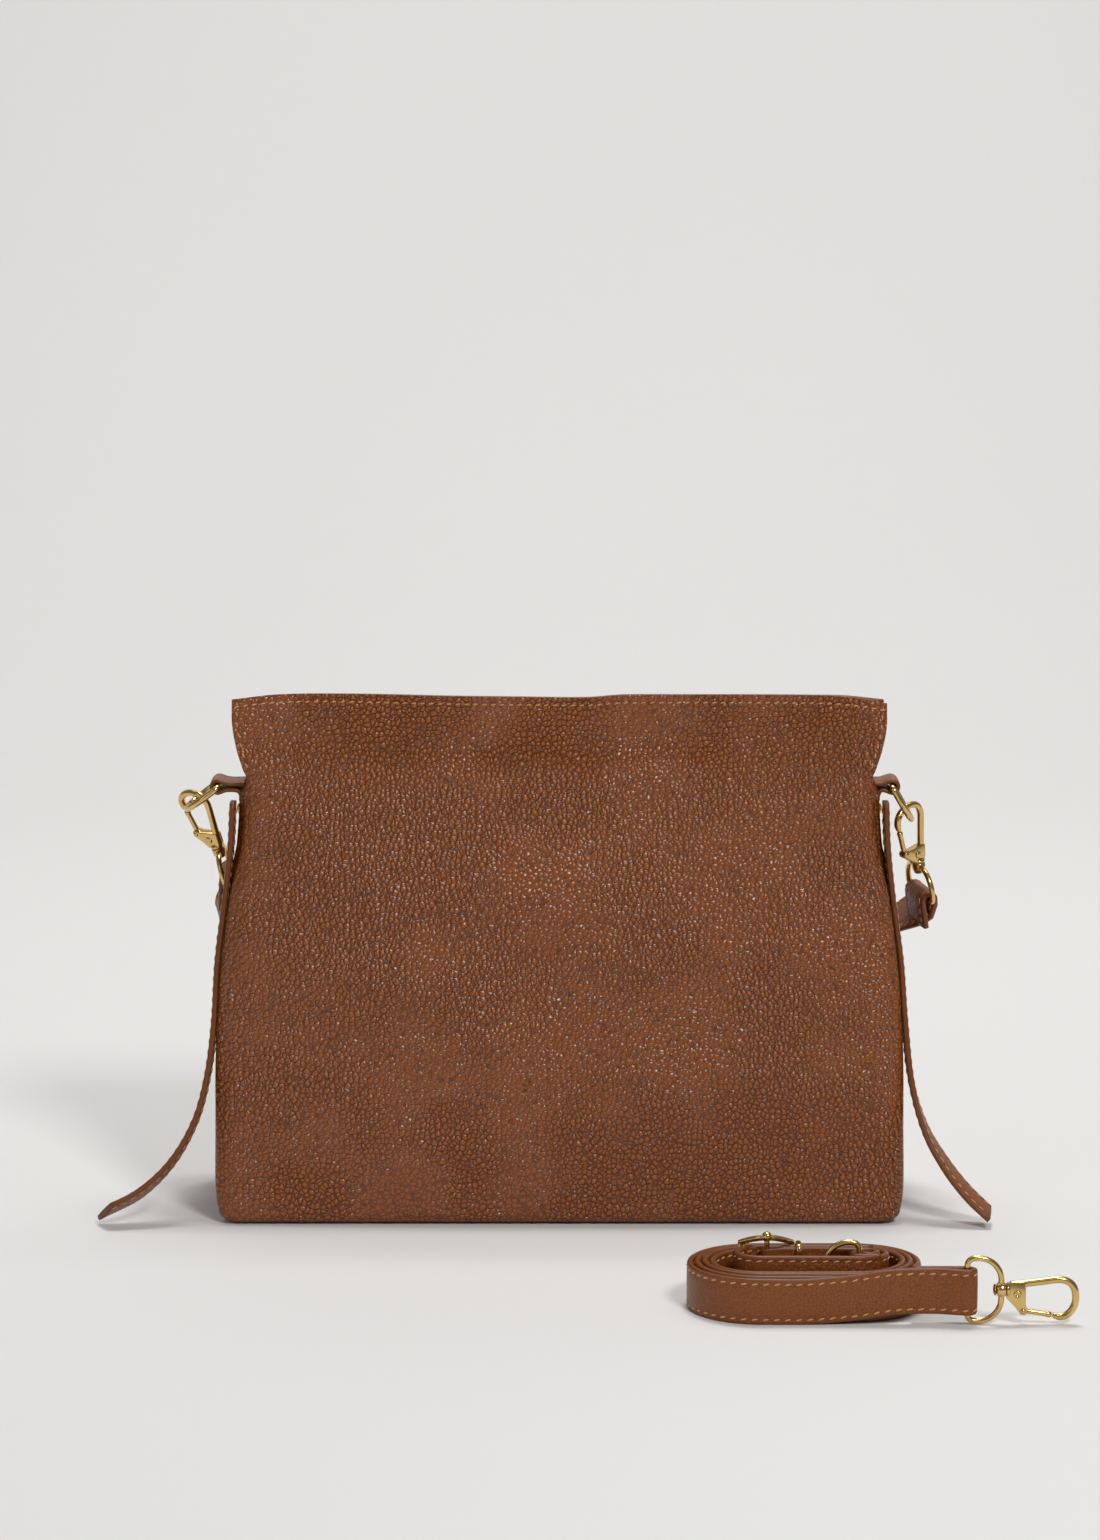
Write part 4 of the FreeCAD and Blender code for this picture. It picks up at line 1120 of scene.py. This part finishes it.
def eye_shape():
    """Wire loop, square at the strap's side and round at the swivel's, with the swivel's boss."""
    x0, x1, half, tight, wide = -EYE_FAR, -EYE_NEAR, EYE_HALF, 3.2, 9.5
    path = [Vector((x0, y, 0)) for y in spaced(-half + tight, half - tight, 3)]
    path += arc_points((x0 + tight, half - tight), tight, 180, 90, 7)[1:]
    path += arc_points((x1 - wide, half - wide), wide, 90, 0, 12)
    path += [Vector((x1, y, 0)) for y in spaced(half - wide, wide - half, 2)[1:]]
    path += arc_points((x1 - wide, wide - half), wide, 0, -90, 12)[1:]
    path += arc_points((x0 + tight, tight - half), tight, -90, -180, 7)[:-1]
    return tube(path, EYE_WIRE, closed=True), lathe_ring(BOSS_PROFILE)


def lathe_ring(profile, steps=LATHE_STEPS):
    """Turned ring about the x axis: the profile closes on itself."""
    points, faces, count = [], [], len(profile)
    for radius, x in profile:
        for step in range(steps):
            a = 2 * math.pi * step / steps
            points.append(Vector((x, radius * math.cos(a), radius * math.sin(a))))
    for r in range(count):
        for k in range(steps):
            n, q = (k + 1) % steps, (r + 1) % count
            faces.append((r * steps + k, r * steps + n, q * steps + n, q * steps + k))
    return points, faces, None


def hook_set(place, eye_body):
    turned, at = hook_place(place)
    here = Matrix.Translation(at) @ turned
    body = place + "_hook"
    piece(place + "_hook_casting", moved(hook_shape(), here), [BRASS], body, [body],
          round_edge=0.55)
    piece(place + "_gate_bar", moved(gate_shape(), here), [BRASS], place + "_gate",
          [place + "_gate"])
    piece(place + "_gate_pin", moved(rivet_shape(), here), [BRASS], body, [place + "_gate_rivet"])
    piece(place + "_eye_wire", moved(merged(*eye_shape()), eye_place(place)), [BRASS], eye_body,
          [place + "_eye"])


for place, eye_body in (("left", "shoulder_strap"), ("right", "shoulder_strap"),
                        ("inner", "crossbody_strap"), ("outer", "crossbody_strap")):
    hook_set(place, eye_body)
print("hooks at", sorted(place for place in JOINTS if place.endswith("swivel")))


# %% [markdown]
# ### Buckle and keeper
# The buckle is cast too: two flat rails that arch over the strap, joined by a bar at each end
# and by a third in the middle, which the strap is folded round and which ends in a small knob.
# The keeper is a flat loop that holds both layers of the strap together.

# %% Buckle and keeper
BUCKLE_HALF, BUCKLE_TALL, BUCKLE_RISE, BUCKLE_DROP = 11.0, 27.4, 7.4, 4.0
HARDWARE_Z = 15.2       # mm, the middle of the buckle and of the keeper above the floor
RAIL_RADIUS, BAR_RADIUS = 1.55, 1.2
KEEPER_X, KEEPER_HALF_DEPTH, KEEPER_HALF_TALL = -2.1, 4.8, 11.2
KEEPER_SQUARE = 0.35    # 1 would make the loop an ellipse, and 0 an oblong with sharp corners


def upright_bar(x, y, half_tall, radius):
    path = [Vector((z, 0, 0)) for z in spaced(-half_tall, half_tall, 2)]
    turn = Matrix.Translation((ROLL_X + x, ROLL_Y + y, HARDWARE_Z)) @ Matrix.Rotation(-math.pi / 2, 4, "Y")
    return moved(tube(path, radius), turn)


def buckle_shape():
    parts = []
    for up in (-1, 1):
        lean = Vector((0, BUCKLE_RISE, -up * BUCKLE_DROP))
        path = [Vector((x, lean.length * (x / BUCKLE_HALF) ** 2, 0))
                for x in spaced(-BUCKLE_HALF, BUCKLE_HALF, 1)]
        level = lean.normalized()
        turned = Matrix((X, level, X.cross(level))).transposed().to_4x4()
        middle = Vector((ROLL_X + BUCKLE_X, ROLL_Y + BUCKLE_LINE, HARDWARE_Z + up * BUCKLE_TALL / 2))
        parts.append(moved(tube(path, RAIL_RADIUS, flatten=0.8), Matrix.Translation(middle) @ turned))
        knob = [(0, 2.3), (1.3, 1.9), (2.1, 0.9), (2.3, 0), (2.1, -0.9), (1.3, -1.9), (0, -2.3)]
        parts.append(moved(lathe(knob, 20), Matrix.Translation(middle + Z * up * 0.4)))
    for sign in (-1, 1):
        parts.append(upright_bar(BUCKLE_X + sign * BUCKLE_HALF, BUCKLE_LINE + BUCKLE_RISE,
                                 BUCKLE_TALL / 2 - BUCKLE_DROP, BAR_RADIUS))
    parts.append(upright_bar(BUCKLE_X, BUCKLE_LINE, BUCKLE_TALL / 2, BAR_RADIUS))
    return merged(*parts)


def keeper_shape():
    """Flat loop round both layers: its path is an oblong, and its wire is wider than it is thick."""
    middle_y = (BUCKLE_LINE + TURNS[-1]) / 2
    path = []
    for step in range(64):
        c, s = math.cos(2 * math.pi * step / 64), math.sin(2 * math.pi * step / 64)
        path.append(Vector((KEEPER_HALF_DEPTH * math.copysign(abs(c) ** KEEPER_SQUARE, c),
                            KEEPER_HALF_TALL * math.copysign(abs(s) ** KEEPER_SQUARE, s), 0)))
    turned = Matrix((Y, Z, X)).transposed().to_4x4()
    middle = Vector((ROLL_X + KEEPER_X, ROLL_Y + middle_y, HARDWARE_Z - 0.6))
    return moved(tube(path, 0.7, closed=True, flatten=1.7), Matrix.Translation(middle) @ turned)


piece("buckle_casting", buckle_shape(), [BRASS], "crossbody_strap", ["buckle_frame"])
piece("keeper_loop", keeper_shape(), [BRASS], "crossbody_strap", ["strap_keeper"])
print("buckle and keeper are in place")


# %% [markdown]
# ## Stitching
# A lockstitch seam is a row of short slanting stitches, each one dipping into the hide at its
# ends. Every row here follows a line that is already known, so Geometry Nodes lay them: the line
# is cut to the stitch pitch, and a small flattened bead is set on each point, turned along the
# line and up from the surface, with a little unevenness from a fixed seed.

# %% Stitch tree
def stitch_tree():
    tree = bpy.data.node_groups.new("lockstitch_row", "GeometryNodeTree")
    face = tree.interface
    face.new_socket("Geometry", in_out="INPUT", socket_type="NodeSocketGeometry")
    for name in ("Pitch", "Length", "Width", "Slant", "Unevenness"):
        face.new_socket(name, in_out="INPUT", socket_type="NodeSocketFloat")
    face.new_socket("Thread", in_out="INPUT", socket_type="NodeSocketMaterial")
    face.new_socket("Geometry", in_out="OUTPUT", socket_type="NodeSocketGeometry")
    given = tree.nodes.new("NodeGroupInput").outputs
    line = add(tree, "GeometryNodeMeshToCurve", None, {"Mesh": given["Geometry"]}).outputs["Curve"]
    dots = add(tree, "GeometryNodeResampleCurve", {"mode": "LENGTH"},
               {"Curve": line, "Length": given["Pitch"]}).outputs["Curve"]
    outward = add(tree, "GeometryNodeInputNamedAttribute", {"data_type": "FLOAT_VECTOR"},
                  {"Name": "outward"}).outputs["Attribute"]
    along = tree.nodes.new("GeometryNodeInputTangent").outputs["Tangent"]
    upright = add(tree, "FunctionNodeAlignRotationToVector", {"axis": "Z"}, {"Vector": outward}).outputs[0]
    turned = add(tree, "FunctionNodeAlignRotationToVector", {"axis": "X", "pivot_axis": "Z"},
                 {"Rotation": upright, "Vector": along}).outputs[0]
    wobble = add(tree, "FunctionNodeRandomValue", {"data_type": "FLOAT"}, {"Seed": 7}).outputs[1]
    swing = add(tree, "ShaderNodeMath", {"operation": "MULTIPLY_ADD"},
                {0: wobble, 1: given["Unevenness"], 2: given["Slant"]}).outputs[0]
    lean = add(tree, "ShaderNodeCombineXYZ", None, {"Z": swing}).outputs[0]
    leaned = add(tree, "FunctionNodeRotateRotation", {"rotation_space": "LOCAL"},
                 {0: turned, 1: lean}).outputs[0]
    bead = add(tree, "GeometryNodeMeshUVSphere", None,
               {"Segments": 6, "Rings": 5, "Radius": 0.5}).outputs["Mesh"]
    size = add(tree, "ShaderNodeCombineXYZ", None,
               {"X": given["Length"], "Y": given["Width"], "Z": given["Width"]})
    beads = add(tree, "GeometryNodeInstanceOnPoints", None,
                {"Points": dots, "Instance": bead, "Rotation": leaned, "Scale": size.outputs[0]}).outputs[0]
    real = add(tree, "GeometryNodeRealizeInstances", None, {0: beads}).outputs[0]
    soft = add(tree, "GeometryNodeSetShadeSmooth", None, {0: real}).outputs[0]
    done = add(tree, "GeometryNodeSetMaterial", None,
               {"Geometry": soft, "Material": given["Thread"]}).outputs[0]
    tree.links.new(done, tree.nodes.new("NodeGroupOutput").inputs[0])
    return tree


def sew(body, rows, pitch, length):
    """Stitches along rows of (point in mm, outward direction) as one plain mesh."""
    points, edges, outward = [], [], []
    for row in rows:
        base = len(points)
        points += [at * MM for at, _ in row]
        outward += [value for _, out in row for value in out]
        edges += [(base + i, base + i + 1) for i in range(len(row) - 1)]
    mesh = bpy.data.meshes.new(body + "_stitches")
    mesh.from_pydata(points, edges, [])
    mesh.attributes.new("outward", "FLOAT_VECTOR", "POINT").data.foreach_set("vector", outward)
    obj = bpy.data.objects.new(body + "_stitches", mesh)
    bpy.context.scene.collection.objects.link(obj)
    modifier = obj.modifiers.new("lockstitch", "NODES")
    modifier.node_group = LOCKSTITCH
    named = {item.name: item.identifier for item in LOCKSTITCH.interface.items_tree if item.in_out == "INPUT"}
    for name, value in (("Pitch", pitch * MM), ("Length", length * MM), ("Width", THREAD_WIDTH * MM),
                        ("Slant", math.radians(STITCH_SLANT)),
                        ("Unevenness", math.radians(STITCH_UNEVENNESS)), ("Thread", THREAD)):
        modifier[named[name]] = value
    settle(obj)
    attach(obj, body)
    PIECES[obj.name] = obj
    return len(obj.data.polygons)


THREAD_WIDTH = 0.85     # mm
STITCH_SLANT, STITCH_UNEVENNESS = 9.0, 7.0      # degrees
BAG_PITCH, STRAP_PITCH = 4.0, 4.7
RIM_INSET, EAR_INSET = 3.6, 2.2
EAR_FOOT, EAR_HEAD = 207, 7     # height where an ear's row starts, and its end below the rim
LOCKSTITCH = stitch_tree()


def on_panel(side, x, z):
    """Point on a panel's outer face near the rim, and the direction out of it."""
    sign = SIDES[side][0]
    lift = (rim_height(side, x) - BAG_TOP) * ease(z, 205, BAG_TOP)
    slope_x = (skin(side, x + 1, z) - skin(side, x - 1, z)) / 2
    slope_z = (skin(side, x, z + 1) - skin(side, x, z - 1)) / 2
    out = Vector((-slope_x, sign, -slope_z)).normalized()
    return Vector((x, sign * skin(side, x, z), z + 0.5 + lift)) + out * 0.1, out


def bag_rows(side):
    half = half_width(BAG_TOP) - EAR_INSET
    rows = [[on_panel(side, x, BAG_TOP - RIM_INSET) for x in spaced(-half, half, 4)]]
    for sign in (-1, 1):
        rows.append([on_panel(side, sign * (half_width(z) - EAR_INSET), z)
                     for z in spaced(EAR_FOOT, BAG_TOP - EAR_HEAD, 3)])
    return rows


for side in SIDES:
    STITCHES["bag"] += bag_rows(side)
for body, rows in STITCHES.items():
    pitch = BAG_PITCH if body == "bag" else STRAP_PITCH
    print(body, "stitch faces:", sew(body, rows, pitch, pitch * 0.68))
